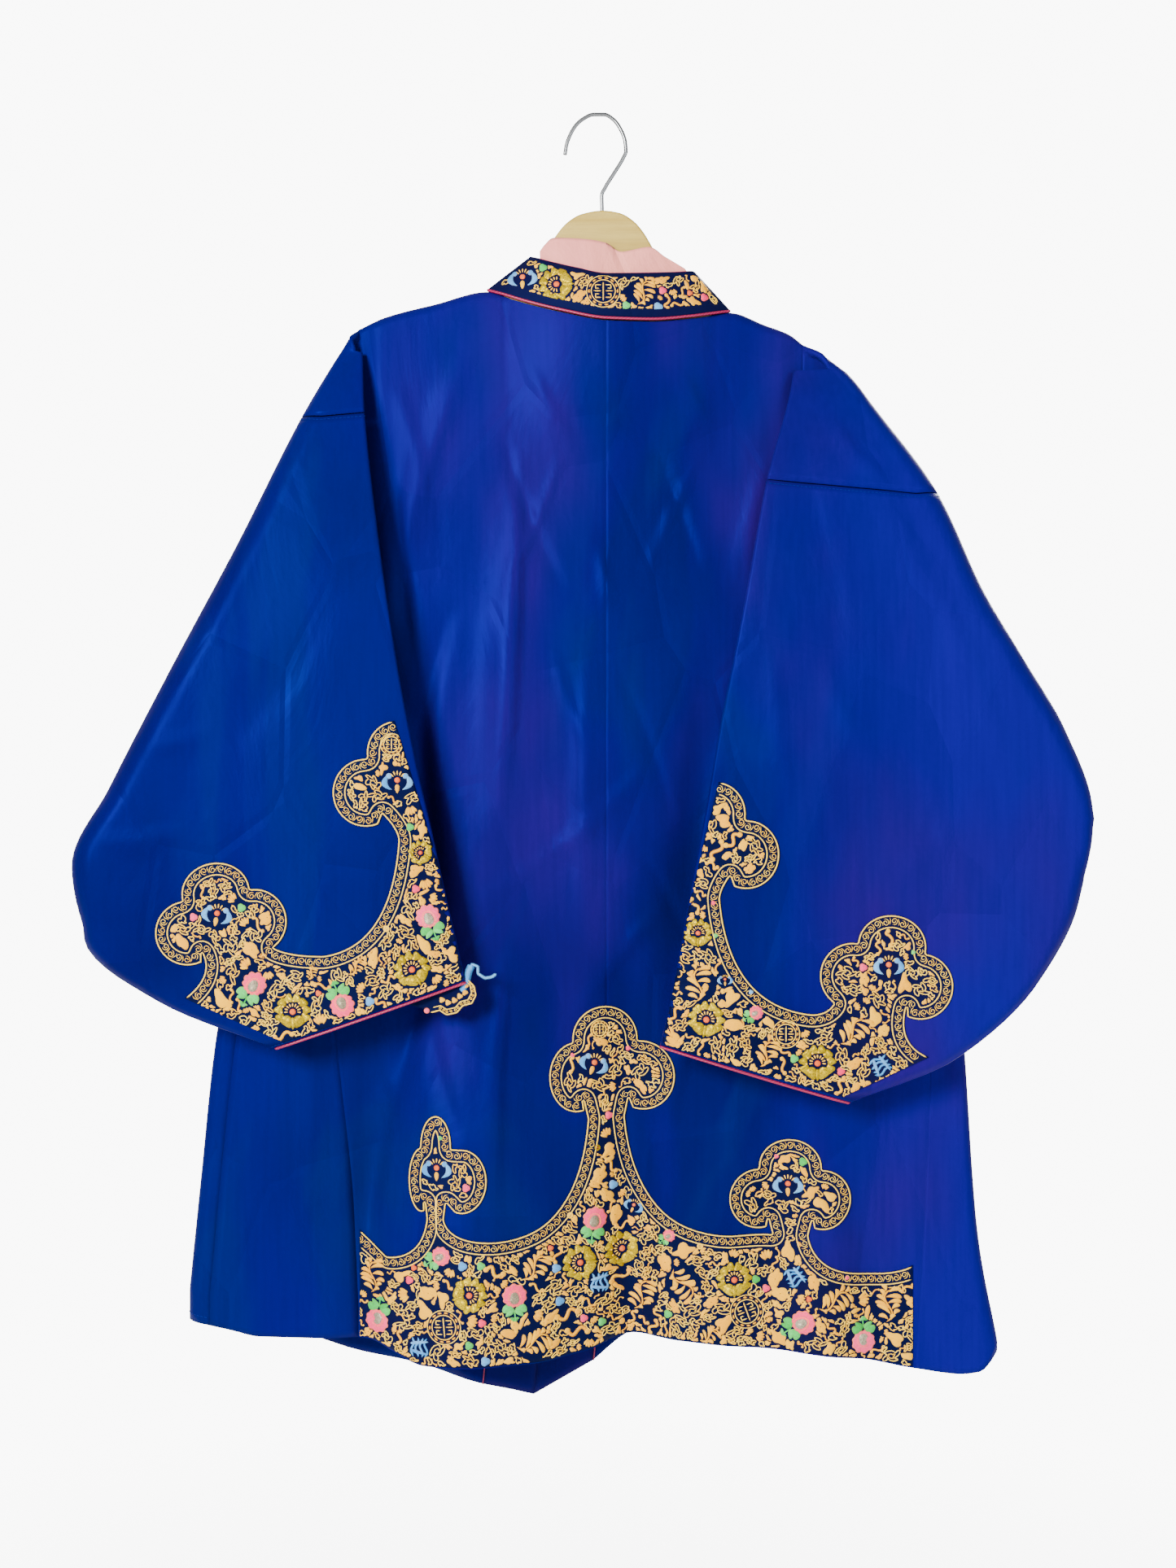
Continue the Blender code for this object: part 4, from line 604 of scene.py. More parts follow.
def liningGrid():
    # from inside the collar up to the lining's own rim
    form = neckForm
    top = numbered(form["liningTop"])
    share = np.linspace(0.0, 1.0, form["collarColumns"] + 1)
    high = readColumns(top, (len(top) - 1) * share, (1, 2, 3))
    low = readColumns(collarTable, mix(0.9, len(collarTable) - 1.9, share), (4, 5, 6))
    rows = []
    for up in np.linspace(0.0, 1.0, form["collarRows"] + 1):
        depth = np.maximum(mix(low[2] - 1.2, high[2], up), 0.7)
        rows.append(np.stack((mix(low[0], high[0], up), -depth, mix(low[1] - 7.0, high[1], up)), axis=1))
    return np.array(rows)


print("materials")


def setInputs(node, **values):
    # fills or links a node's inputs; _ stands for a space in their names
    for name, value in values.items():
        socket = node.inputs[name.replace("_", " ")]
        if isinstance(value, bpy.types.NodeSocket):
            node.id_data.links.new(value, socket)
        else:
            socket.default_value = value


def addNode(tree, kind, settings=None, **values):
    made = tree.nodes.new(kind)
    for name, value in (settings or {}).items():
        setattr(made, name, value)
    setInputs(made, **values)
    return made


def newMaterial(name, rough, metal=0.0):
    material = bpy.data.materials.new(name)
    material.use_nodes = True
    shader = material.node_tree.nodes["Principled BSDF"]
    setInputs(shader, Roughness=rough, Metallic=metal)
    return material, material.node_tree, shader


def placesOn(tree, kind="Object", stretch=None):
    places = addNode(tree, "ShaderNodeTexCoord").outputs[kind]
    if stretch is None:
        return places
    return addNode(tree, "ShaderNodeMapping", Vector=places, Scale=stretch).outputs["Vector"]


def noiseAt(tree, places, scale, detail=3.0, rough=0.5, distortion=0.0):
    made = addNode(tree, "ShaderNodeTexNoise", Vector=places, Scale=scale, Detail=detail,
                   Roughness=rough, Distortion=distortion)
    return made.outputs["Fac"]


def bandsAt(tree, places, way, scale, distortion, **more):
    made = addNode(tree, "ShaderNodeTexWave", {"wave_type": "BANDS", "bands_direction": way},
                   Vector=places, Scale=scale, Distortion=distortion, **more)
    return made.outputs["Fac"]


def ranged(tree, value, low, high, fromLow=0.3, fromHigh=0.7):
    made = addNode(tree, "ShaderNodeMapRange", Value=value, To_Min=low, To_Max=high,
                   From_Min=fromLow, From_Max=fromHigh)
    return made.outputs["Result"]


def multiplied(tree, first, second):
    share = addNode(tree, "ShaderNodeMath", {"operation": "MULTIPLY"})
    for socket, value in zip(share.inputs, (first, second)):
        tree.links.new(value, socket)
    return share.outputs["Value"]


def mixedColour(tree, share, first, second):
    made = addNode(tree, "ShaderNodeMix", {"data_type": "RGBA"})
    for index, value in ((0, share), (6, first), (7, second)):  # the factor and the two colours
        if isinstance(value, bpy.types.NodeSocket):
            tree.links.new(value, made.inputs[index])
        else:
            made.inputs[index].default_value = value if index == 0 else (*value, 1.0)
    return made.outputs[2]


def dimmed(colour, share):
    return tuple(share * value for value in colour)


def bumped(tree, height, strength, distance, **under):
    made = addNode(tree, "ShaderNodeBump", Height=height, Strength=strength, Distance=distance, **under)
    return made.outputs["Normal"]


def satin(name, deep, light, violet, gleam, rough, shine, creases=1.0, cool=None, bright=None):
    # silk satin: slow changes of colour, painted shade on pressed facets, fine crinkles, faint pressed lines
    # and a close weave
    material, tree, shader = newMaterial(name, rough)
    places = placesOn(tree)
    facetPlaces = placesOn(tree, stretch=(1.0, 0.2, 0.62))
    colour = mixedColour(tree, ranged(tree, noiseAt(tree, places, 3.2, 2.0), 0.0, 1.0), deep, light)
    east = addNode(tree, "ShaderNodeSeparateXYZ", Vector=places).outputs["X"]
    if cool:  # the cloth is changeable, cooler in places at random; its right side is painted brighter and more violet, a painted lit side
        cooler = noiseAt(tree, placesOn(tree, stretch=(1.0, 1.0, 0.38)), 8.0, 3.0, 0.5, 0.9)
        colour = mixedColour(tree, ranged(tree, cooler, 0.0, 0.75, 0.49, 0.60), colour, cool)
        # painted light: the colour turns brighter and more violet towards the right
        colour = mixedColour(tree, ranged(tree, east, 0.0, 0.85, 0.1, 0.3), colour, bright)
    patches = noiseAt(tree, placesOn(tree, stretch=(1.0, 1.0, 0.45)), 5.5)
    patches, eastern = ranged(tree, patches, 0.0, 1.0, 0.44, 0.62), ranged(tree, east, 0.15, 0.9, -0.32, 0.0)
    colour = mixedColour(tree, multiplied(tree, patches, eastern), colour, violet)
    # painted shade: each pressed facet is painted darker by its own share, for facets turned from the light
    shadedFacets = addNode(tree, "ShaderNodeTexVoronoi", Vector=facetPlaces, Scale=11.0, Randomness=1.0)
    share = ranged(tree, shadedFacets.outputs["Color"], 0.0, 0.22, 0.0, 1.0)
    colour = mixedColour(tree, share, colour, dimmed(deep, 0.45))
    streaks = noiseAt(tree, placesOn(tree, stretch=(260.0, 260.0, 14.0)), 1.0, 2.0)
    colour = mixedColour(tree, ranged(tree, streaks, 0.0, 0.14), colour, dimmed(deep, 0.6))
    crinkle = noiseAt(tree, placesOn(tree, stretch=(1.0, 1.0, 0.55)), 15.0, 5.0, 0.55, 0.8)
    normal = bumped(tree, crinkle, 0.22 * creases, 0.006)
    cells = addNode(tree, "ShaderNodeTexVoronoi", {"feature": "DISTANCE_TO_EDGE"},
                    Vector=facetPlaces, Scale=11.0, Randomness=1.0)
    pressed = ranged(tree, cells.outputs["Distance"], 0.0, 1.0, 0.0, 0.05)
    normal = bumped(tree, pressed, 0.22 * creases, 0.0015, Normal=normal)
    weave = bandsAt(tree, places, "DIAGONAL", 620.0, 0.6, Detail=1.0)
    setInputs(shader, Base_Color=colour, Normal=bumped(tree, weave, 0.05, 0.0002, Normal=normal),
              Roughness=ranged(tree, noiseAt(tree, places, 9.0), rough - 0.07, rough + 0.09),
              Specular_IOR_Level=shine, Specular_Tint=(*gleam, 1.0),
              Sheen_Weight=0.06, Sheen_Roughness=0.4, Sheen_Tint=(*gleam, 1.0))
    return material


# its last colour is painted light: the brighter, more violet colour painted on the right side
blueSatin = satin("Blue silk satin", (0.0011, 0.0007, 0.055), (0.0009, 0.0018, 0.11), (0.015, 0.0005, 0.118),
                  (0.0, 0.07, 1.0), 0.38, 0.12, 1.0, (0.0005, 0.0063, 0.085), (0.0075, 0.0013, 0.165))
bandSatin = satin("Deep blue satin", (0.004, 0.0008, 0.05), (0.006, 0.0015, 0.09), (0.014, 0.0008, 0.09),
                  (0.05, 0.1, 1.0), 0.42, 0.2)
navySatin = satin("Navy satin", (0.0015, 0.002, 0.020), (0.0025, 0.004, 0.032), (0.004, 0.003, 0.030),
                  (0.1, 0.2, 1.0), 0.5, 0.1, 0.4)
pinkSilk = satin("Pink silk", (0.84, 0.28, 0.21), (0.94, 0.37, 0.28), (0.84, 0.28, 0.26),
                 (1.0, 0.6, 0.6), 0.48, 0.2, 4.0)


def thread(name, rich, light, rough=0.5, metal=0.0, rimmed=0.0, grain=0.35):
    # satin stitch: threads laid side by side, tinted from stitch to stitch, with a paler outline
    material, tree, shader = newMaterial(name, rough, metal)
    tint, turn, rim = [addNode(tree, "ShaderNodeAttribute", {"attribute_name": kept}).outputs["Fac"]
                       for kept in ("tint", "turn", "rim")]
    places = placesOn(tree)
    flecks = ranged(tree, noiseAt(tree, places, 900.0, 1.0), 0.0, grain)
    colour = mixedColour(tree, flecks, mixedColour(tree, tint, rich, light), dimmed(rich, 0.45))
    if rimmed:
        colour = mixedColour(tree, ranged(tree, rim, 0.0, rimmed, 0.1, 0.5), colour, (1.0, 0.62, 0.06))
    laid = addNode(tree, "ShaderNodeVectorRotate", {"rotation_type": "Y_AXIS"}, Vector=places, Angle=turn)
    bands = bandsAt(tree, laid.outputs["Vector"], "X", 560.0, 0.8, Detail=1.0)
    setInputs(shader, Base_Color=colour, Normal=bumped(tree, bands, 0.35, 0.0003),
              Specular_IOR_Level=0.3, Specular_Tint=(*light, 1.0))
    return material


threads = {
    "gold": thread("Gold thread", (0.90, 0.37, 0.0), (1.0, 0.49, 0.0), rimmed=1.0, grain=0.15),
    "pale": thread("Pale gold cord", (1.0, 0.55, 0.015), (1.0, 0.68, 0.07), grain=0.1),
    "pink": thread("Pink thread", (1.0, 0.02, 0.12), (1.0, 0.09, 0.22), rimmed=0.4),
    "green": thread("Green thread", (0.03, 0.42, 0.06), (0.10, 0.62, 0.14), rimmed=0.3),
    "sky": thread("Light blue thread", (0.05, 0.27, 0.66), (0.14, 0.42, 0.80), rimmed=0.3),
    "orange": thread("Orange thread", (0.85, 0.11, 0.015), (0.90, 0.17, 0.03)),
    "sequin": thread("Sequined yellow gold", (0.42, 0.29, 0.0), (0.78, 0.56, 0.005), 0.3, 0.35, grain=0.9),
    "silver": thread("Silver grey thread", (0.30, 0.25, 0.16), (0.52, 0.46, 0.34), 0.35, 0.4, grain=0.8),
    "navy": navySatin,
}
blueThread = thread("Blue thread", (0.004, 0.012, 0.16), (0.008, 0.03, 0.28), 0.45)

crimsonSilk, tree, shader = newMaterial("Crimson piping", 0.4)
# the twist of the cord: a bump whose grooves are also painted darker as painted shade
twistAndGrooveShade = bandsAt(tree, placesOn(tree, "UV"), "DIAGONAL", 190.0, 0.4)
setInputs(shader, Base_Color=mixedColour(tree, twistAndGrooveShade, (0.19, 0.0003, 0.030), (0.31, 0.001, 0.06)),
          Normal=bumped(tree, twistAndGrooveShade, 0.3, 0.0004))

paleWood, tree, shader = newMaterial("Pale wood", 0.5)
rings = noiseAt(tree, placesOn(tree, stretch=(3.0, 30.0, 34.0)), 1.6, 4.0, 0.55, 1.1)
pores = noiseAt(tree, placesOn(tree, stretch=(40.0, 900.0, 900.0)), 1.0, 2.0)
colour = mixedColour(tree, ranged(tree, rings, 0.0, 1.0), (0.40, 0.27, 0.035), (0.49, 0.35, 0.07))
colour = mixedColour(tree, ranged(tree, pores, 0.0, 0.35, 0.5, 0.8), colour, (0.28, 0.175, 0.02))
setInputs(shader, Base_Color=colour, Roughness=ranged(tree, rings, 0.42, 0.58),
          Normal=bumped(tree, pores, 0.15, 0.0003))

brushedSteel, tree, shader = newMaterial("Brushed steel", 0.3, 1.0)
scratches = noiseAt(tree, placesOn(tree, "UV", (60.0, 2600.0, 1.0)), 1.0, 2.0)
setInputs(shader, Base_Color=mixedColour(tree, scratches, (0.22, 0.23, 0.24), (0.28, 0.29, 0.30)),
          Roughness=ranged(tree, scratches, 0.2, 0.38), Normal=bumped(tree, scratches, 0.08, 0.0002))


def placed(name, data):
    item = bpy.data.objects.new(name, data)
    bpy.context.scene.collection.objects.link(item)
    return item


def meshFrom(name, work, material):
    mesh = bpy.data.meshes.new(name)
    work.to_mesh(mesh)
    work.free()
    mesh.materials.append(material)
    return placed(name, mesh)


def meshPiece(name, work, material):
    item = meshFrom(name, work, material)
    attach(item, "root")
    return item


def fitted(piece, node=None):
    # hides the model part that a piece stands for, and hands the piece back
    if node:
        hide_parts(node)
    return piece


def thickened(piece, thick):
    shell = piece.modifiers.new("Cloth thickness", "SOLIDIFY")
    shell.thickness, shell.offset = thick * mm, 0.0
    return piece


def gridWork(points, uvPlaces):
    # a grid of faces drawn through rows of points, each point with its UV place
    rows, columns = len(points) - 1, len(points[0]) - 1
    work = bmesh.new()
    uvLayer = work.loops.layers.uv.new("UVMap")
    bmesh.ops.create_grid(work, x_segments=columns, y_segments=rows, size=0.5)
    places = {}
    for vertex in work.verts:
        places[vertex] = (round((0.5 - vertex.co.y) * rows), round((vertex.co.x + 0.5) * columns))
        vertex.co = points[places[vertex]] * mm
    for face in work.faces:
        face.smooth = True
        for corner in face.loops:
            corner[uvLayer].uv = uvPlaces[places[corner.vert]] * mm
    return work, places


def clothMesh(name, points, material, thick, keep=None, loop=False):
    # cloth drawn through its middle points, with the arc lengths in metres as its UV
    points = np.concatenate((points, points[:1])) if loop else points
    across = np.linalg.norm(np.diff(points, axis=1, prepend=points[:, :1]), axis=2).cumsum(axis=1)
    down = np.linalg.norm(np.diff(points, axis=0, prepend=points[:1]), axis=2).cumsum(axis=0)
    work, places = gridWork(points, np.stack((across, -down), axis=2))
    if keep is not None:
        gone = [face for face in work.faces if not keep(*(
            min(places[vertex][axis] for vertex in face.verts) for axis in (0, 1)))]
        bmesh.ops.delete(work, geom=gone, context="FACES")
    if loop:
        bmesh.ops.remove_doubles(work, verts=work.verts, dist=weld)
    bmesh.ops.recalc_face_normals(work, faces=work.faces)
    return thickened(meshPiece(name, work, material), thick)


def tube(name, points, radius, material, sides=10, loop=False):
    # a round cord along a line of points
    points = np.asarray(points, float)
    tangents = np.roll(points, -1, axis=0) - np.roll(points, 1, axis=0)
    if not loop:
        tangents[0], tangents[-1] = points[1] - points[0], points[-1] - points[-2]
    tangents = units(tangents)
    way = np.cross(tangents[0], (0.0, 1.0, 0.0))
    if np.linalg.norm(way) < 0.2:
        way = np.cross(tangents[0], (1.0, 0.0, 0.0))
    turns = 2 * math.pi * np.arange(sides + 1) / sides
    rings = []
    for point, tangent in zip(points, tangents):
        way = unit(way - tangent * np.dot(way, tangent))
        other = np.cross(tangent, way)
        rings.append(point + radius * (np.cos(turns)[:, None] * way + np.sin(turns)[:, None] * other))
    rings = np.array(rings + rings[:1] if loop else rings)
    around = np.arange(sides + 1) / sides * 2 * math.pi * radius
    uvPlaces = np.stack(np.broadcast_arrays(runLengths(rings[:, 0])[:, None], around), axis=2)
    work = gridWork(rings[::-1], uvPlaces[::-1])[0]
    bmesh.ops.remove_doubles(work, verts=work.verts, dist=weld)
    if not loop:
        bmesh.ops.holes_fill(work, edges=[edge for edge in work.edges if edge.is_boundary], sides=0)
    bmesh.ops.recalc_face_normals(work, faces=work.faces)
    return meshPiece(name, work, material)


print("body")
bodyWalls, frontWalls = {}, {}
for side, word in sides:
    for layer, walls, kind in ((-1, bodyWalls, "back_"), (1, frontWalls, "front_")):
        grid, columns, armpitRow = bodyGrid(side, layer)
        if layer > 0 > side:
            grid = wrapLeftFront(grid)
        walls[word] = grid
        piece = clothMesh(kind + "panel_" + word, grid, blueSatin, bodyForm["wall"],
                          lambda row, column: column < columns or row >= armpitRow)
        if layer < 0:
            piece.modifiers.new("Even shading up to the seam", "WEIGHTED_NORMAL").weight = 100
        fitted(piece, kind + word)
    fitted(clothMesh("band_front_" + word, bandGrid(side, frontWalls[word]), bandSatin, bodyForm["wall"]),
           "front_band_" + word)
    fitted(clothMesh("side_gusset_" + word, gussetGrid(side), blueSatin, bodyForm["wall"]),
           "gusset_" + word)

print("sleeves")
sleeveWalls = {}
for side, word in sides:
    fitted(clothMesh("dropped_shoulder_" + word, shoulderGrid(side), blueSatin, bodyForm["wall"]),
           "shoulder_" + word)
    sleeveWalls[word] = sleeveGrid(side)
    fitted(clothMesh("wide_sleeve_" + word, sleeveWalls[word], blueSatin, bodyForm["wall"], loop=True),
           "sleeve_" + word)

print("collar")
fitted(clothMesh("collar_band", collarGrid(), navySatin, neckForm["collarWall"]), "collar")
fitted(clothMesh("silk_lining", liningGrid(), pinkSilk, neckForm["liningWall"]),
       "collar_lining")

print("hanger")
table, thick = numbered(hangerForm["top"]), hangerForm["thick"] * mm
outline = [readColumns(table, index / 4, (1, 2)) for index in range(4 * (len(table) - 1) + 1)]
outline += hangerForm["bottom"]
woodPiece = bmesh.new()
corners = [woodPiece.verts.new((float(x) * mm, -0.5 * thick, float(z) * mm)) for x, z in outline]
face = woodPiece.faces.new(corners)
swept = bmesh.ops.extrude_face_region(woodPiece, geom=[face])
moved = [item for item in swept["geom"] if isinstance(item, bmesh.types.BMVert)]
bmesh.ops.translate(woodPiece, verts=moved, vec=(0.0, thick, 0.0))
bmesh.ops.recalc_face_normals(woodPiece, faces=woodPiece.faces)
rim = [edge for edge in woodPiece.edges if abs(edge.verts[0].co.y - edge.verts[1].co.y) < 1e-6]
bmesh.ops.bevel(woodPiece, geom=rim, offset=hangerForm["round"] * mm, offset_type="OFFSET", segments=4,
                profile=0.5, affect="EDGES", material=-1)
for face in woodPiece.faces:
    face.smooth = abs(face.normal.y) < 0.999
fitted(meshPiece("wooden_hanger", woodPiece, paleWood), "hanger_wood")

table = numbered(hangerForm["hook"])
x, z = readColumns(table, np.linspace(0, len(table) - 1, 97), (1, 2))
hook = tube("steel_hook", np.stack((x, 0 * x, z), axis=1), hangerForm["hookRadius"], brushedSteel, 16)
fitted(hook, "hanger_hook")

print("pipings")
pipingForm = {"radius": 1.2, "gap": 0.3, "rimRadius": 0.55, "seamRows": 7}


def piping(name, line, node=None, thin=False, loop=False):
    radius = pipingForm["rimRadius" if thin else "radius"]
    fitted(tube(name, line, radius, crimsonSilk, 8 if thin else 10, loop), node)


for side, word in sides:
    wall = sleeveWalls[word]
    cord = []
    for index in range(len(wall)):
        along = unit(wall[(index + 1) % len(wall), -1] - wall[index - 1, -1])
        way = wall[index, -1] - wall[index, -2]
        way = unit(way - along * np.dot(way, along))
        cord.append(wall[index, -1] + way * (pipingForm["gap"] + pipingForm["radius"]))
    piping("cuff_cord_" + word, cord, "cuff_piping_" + word, loop=True)
    grid = frontWalls[word]
    cord = []
    for row in range(bodyForm["ridgeRows"], len(grid)):
        down = grid[min(row + 1, len(grid) - 1), 0] - grid[max(row - 1, 0), 0]
        out = unit(np.cross(down, grid[row, 1] - grid[row, 0]))
        out = out * math.copysign(1.0, out[1])
        cord.append(grid[row, 0] + out * (bodyForm["wall"] / 2 + pipingForm["gap"] + pipingForm["radius"]))
    piping("front_cord_" + word, cord, "front_piping_" + word)
    # the same seam shows as a thin line inside the front, just above its hem
    rows = -pipingForm["seamRows"]
    piping("front_seam_line_" + word, 2 * grid[rows:, 0] - cord[rows:], thin=True)

places = np.linspace(0, len(collarTable) - 1, 97)
x, z, depth = readColumns(collarTable, places, (1, 2, 3))
lift = neckForm["collarWall"] + pipingForm["gap"] + pipingForm["radius"]
piping("neck_cord", np.stack((x, -depth - lift, z - 0.3), axis=1), "neck_piping")
x, z, depth = readColumns(collarTable, places, (4, 5, 6))
piping("collar_rim_cord", np.stack((x, -depth - neckForm["collarWall"] / 2, z + 0.35), axis=1), thin=True)


print("seam stitches")
seamForm = {"pitch": 3.4, "length": 2.3, "radius": 0.26, "bedded": 0.4, "fromSeam": 2.6, "fromHem": 9.0}


def stitchRow(name, line, outs, loop=False):
    # short stitches standing half out of the cloth along a line on its outer face
    if loop:
        line, outs = np.concatenate((line, line[:1])), np.concatenate((outs, outs[:1]))
    far = runLengths(line)

    def between(values, place):
        return np.array([np.interp(place, far, values[:, axis]) for axis in range(3)])

    work = bmesh.new()
    for place in np.arange(seamForm["pitch"] / 2, far[-1], seamForm["pitch"]):
        first, last = between(line, place - 0.6), between(line, place + 0.6)
        turn = Vector(unit(last - first)).to_track_quat("Z", "Y").to_matrix().to_4x4()
        lift = between(outs, place) * seamForm["radius"] * seamForm["bedded"]
        turn.translation = Vector((first + last) / 2 + lift) * mm
        bmesh.ops.create_cone(work, cap_ends=True, segments=6, radius1=seamForm["radius"] * mm,
                              radius2=seamForm["radius"] * mm, depth=seamForm["length"] * mm, matrix=turn)
    fitted(meshPiece(name, work, blueThread))


def rowFace(grid, row, towards):
    # one row of a panel: its places on the outer face and the ways out of it
    out = units(np.cross(np.gradient(grid, axis=0), np.gradient(grid, axis=1)))[row]
    out = out * math.copysign(1.0, out[len(out) // 2][1] * towards)
    return grid[row] + out * bodyForm["wall"] / 2, out


for side, word in sides:
    wall = sleeveWalls[word]
    for place, other, name in ((0, 1, "seam"), (-1, -2, "cuff")):
        inwards = wall[:, other] - wall[:, place]
        line = wall[:, place] + units(inwards) * seamForm["fromSeam"]
        out = units(np.cross(np.roll(line, -1, axis=0) - np.roll(line, 1, axis=0), inwards))
        out = out * math.copysign(1.0, -out[int(np.argmin(line[:, 1])), 1])
        stitchRow("sleeve_" + name + "_stitches_" + word, line + out * bodyForm["wall"] / 2, out, loop=True)
    for grid, towards, name in ((bodyWalls[word], -1, "back"), (frontWalls[word], 1, "front")):
        step = np.linalg.norm(grid[-2] - grid[-1], axis=1).mean()
        line, out = rowFace(grid, -1 - int(round(seamForm["fromHem"] / step)), towards)
        stitchRow(name + "_hem_stitches_" + word, line[1:-1], out[1:-1])


print("border outlines")
cloudForm = {
    "sideLobe": (29, -13, 27.5, 31),  # centre x, z, half width, half height
    "topLobe": (20, 29),  # centre z, radius
    "notch": (20, -34),
    "waist": (16.5, -50),
    "hem": (  # centre x, z, scales of left, right and top lobe and height, lean in degrees
        (-142, -924, 0.43, 0.80, 0.48, 0.90, 0), (6, -835, 0.88, 1.08, 1.00, 1.00, 1),
        (168, -944, 0.95, 0.95, 0.95, 0.85, 0),
    ),
    "scallops": ((-186, -1005), (-88, -988), (115, -987), (240, -1021)),
    "ends": ((-210.5, -984), (276, -1014)),
    "cuffs": (
        (-325, -702, 1.02, 1.00, 1.02, 0.90, 10), (248, -748, 1.02, 1.02, 1.02, 0.92, -9)),
    "edges": (
        (-171, -583, 1.04, 1.00, 0.90, 0.95, 6), (98, -636, 1.00, 1.03, 0.90, 0.96, -6)),
    "arches": (((-236, -738), (-172, -640)), ((182, -788), (104, -690))),
    "feet": (((-328.5, -757.5), (-360, -778)), ((254, -816), (288, -827))),
    "inset": 1.3,
    "lift": 0.3,
    "wall": 1.0,
    "cell": 6.0,
    "steps": (3.0, 5.0),  # between the points of the upper and the lower line
}


def arcLine(centre, wide, high, start, end, count):
    turn = np.radians(np.linspace(start, end, count + 1))
    return np.stack((centre[0] + wide * np.cos(turn), centre[1] + high * np.sin(turn)), axis=1)


def cloudLine(row, part="whole", stem=True):
    # outline of a ruyi cloud or of one half of it, from the stem over the lobes
    form = cloudForm
    x, z, leftWide, rightWide, topWide, high, lean = row
    halves = []
    for wide in (leftWide, rightWide):
        acrossLobe, upLobe, halfWide, halfHigh = form["sideLobe"]
        side = arcLine((-acrossLobe, upLobe), halfWide, halfHigh, -74, -262, 36) * (wide, 1.0)
        upTop, topRadius = form["topLobe"]
        top = arcLine((0, upTop), topRadius, topRadius, 184, 90, 20) * (topWide, 1.0)
        foot = [(-across * topWide, up) for across, up in (form["waist"], form["notch"])[0 if stem else 1:]]
        halves.append(np.concatenate((foot, side, top)))
    left, right = halves[0], halves[1][::-1] * (-1.0, 1.0)
    line = {"whole": np.concatenate((left, right[1:])), "left": left, "right": right}[part]
    line = line * (1.0, high)
    cosine, sine = math.cos(math.radians(lean)), math.sin(math.radians(lean))
    return np.stack((x + line[:, 0] * cosine - line[:, 1] * sine,
                     z + line[:, 0] * sine + line[:, 1] * cosine), axis=1)


def bendLine(start, way, end, count=16):
    t = np.linspace(0.0, 1.0, count + 1)[1:-1, None]
    start, way, end = (np.array(point, float) for point in (start, way, end))
    return (1 - t) ** 2 * start + 2 * t * (1 - t) * way + t * t * end


def hemLine():
    # the upper line of the hem border and the line just above the hem
    form = cloudForm
    clouds = [cloudLine(row) for row in form["hem"]]
    end = form["ends"][1]
    parts = [np.array([form["ends"][0]], float)]
    for index, low in enumerate(form["scallops"]):
        before, last = parts[-1][-1], index == len(clouds)
        fall = (mix(before[0], low[0], 0.1), low[1]) if index else mix(before, np.array(low), (0.5, 0.58))
        after = np.array([end], float) if last else clouds[index]
        pull = (mix(low[0], after[0, 0], 0.7 if last else 0.9), low[1] + (0.0 if last else 2.0))
        parts += [bendLine(before, fall, low), np.array([low], float), bendLine(low, pull, after[0]), after]
    x = np.linspace(end[0], form["ends"][0][0], 120)
    return np.concatenate(parts), np.stack((x, readCurve(bodyForm["backHem"], x, 1) + form["inset"]), axis=1)


def cuffLine(side):
    # the upper line of a cuff border and the line beside the cuff and the sleeve's top fold
    form, table = cloudForm, sleeveTable(side)
    pick = 0 if side < 0 else 1
    (low, high), foot = np.array(form["arches"][pick], float), form["feet"][pick]
    upper = cloudLine(form["edges"][pick], "left" if side < 0 else "right", stem=False)
    lower = cloudLine(form["cuffs"][pick], stem=False)
    if side < 0:
        upper, lower = upper[::-1], lower[::-1]
    lower = lower[9:]
    parts = [
        upper, bendLine(upper[-1], (high[0], mix(upper[-1][1], high[1], 0.6)), high, 8),
        [high], bendLine(high, mix(high, low, (0.1, 0.92)), low, 24),
        [low], bendLine(low, (mix(low[0], lower[0][0], 0.7), low[1]), lower[0], 12),
        lower, bendLine(lower[-1], foot[0], foot[1], 12),
    ]
    length, past = table[-1][0], -0.008  # the near line runs just round the sleeve's top fold
    along = np.concatenate((np.full(60, length - form["inset"]), length * np.linspace(0.98, 0.8, 16)))
    shares = np.concatenate((np.linspace(0.99, past, 60), np.full(16, past)))
    near = [mix(readCurve(table, along, low), readCurve(table, along, low + 2), shares) for low in (1, 2)]
    rows = sorted((row[2], row[1]) for row in table if row[0] > 60.0)

    def held(line):
        edge = np.interp(line[:, 1], [row[0] for row in rows], [row[1] for row in rows])
        x = np.minimum(line[:, 0], edge + 1.6) if side < 0 else np.maximum(line[:, 0], edge - 1.6)
        return np.stack((x, line[:, 1]), axis=1)

    return held(np.concatenate(parts)), held(np.stack(near, axis=1))


def spaced(line, step):
    # the same line with its points about one step apart
    lengths = runLengths(line)
    keep = np.concatenate(((True,), np.diff(lengths) > 1e-6))
    places = np.linspace(0.0, lengths[-1], max(2, round(lengths[-1] / step)) + 1)
    return np.stack([np.interp(places, lengths[keep], line[keep, column]) for column in (0, 1)], axis=1)


def gridRead(field, x, z):
    # reading between the points of a field held on a regular grid
    low, step, values = field
    u = np.clip((np.asarray(x, float) - low[0]) / step, 0.0, values.shape[0] - 1.001)
    v = np.clip((np.asarray(z, float) - low[1]) / step, 0.0, values.shape[1] - 1.001)
    column, row = u.astype(int), v.astype(int)
    u, v = u - column, v - row
    return (values[column, row] * (1 - u) * (1 - v) + values[column + 1, row] * u * (1 - v)
            + values[column, row + 1] * (1 - u) * v + values[column + 1, row + 1] * u * v)


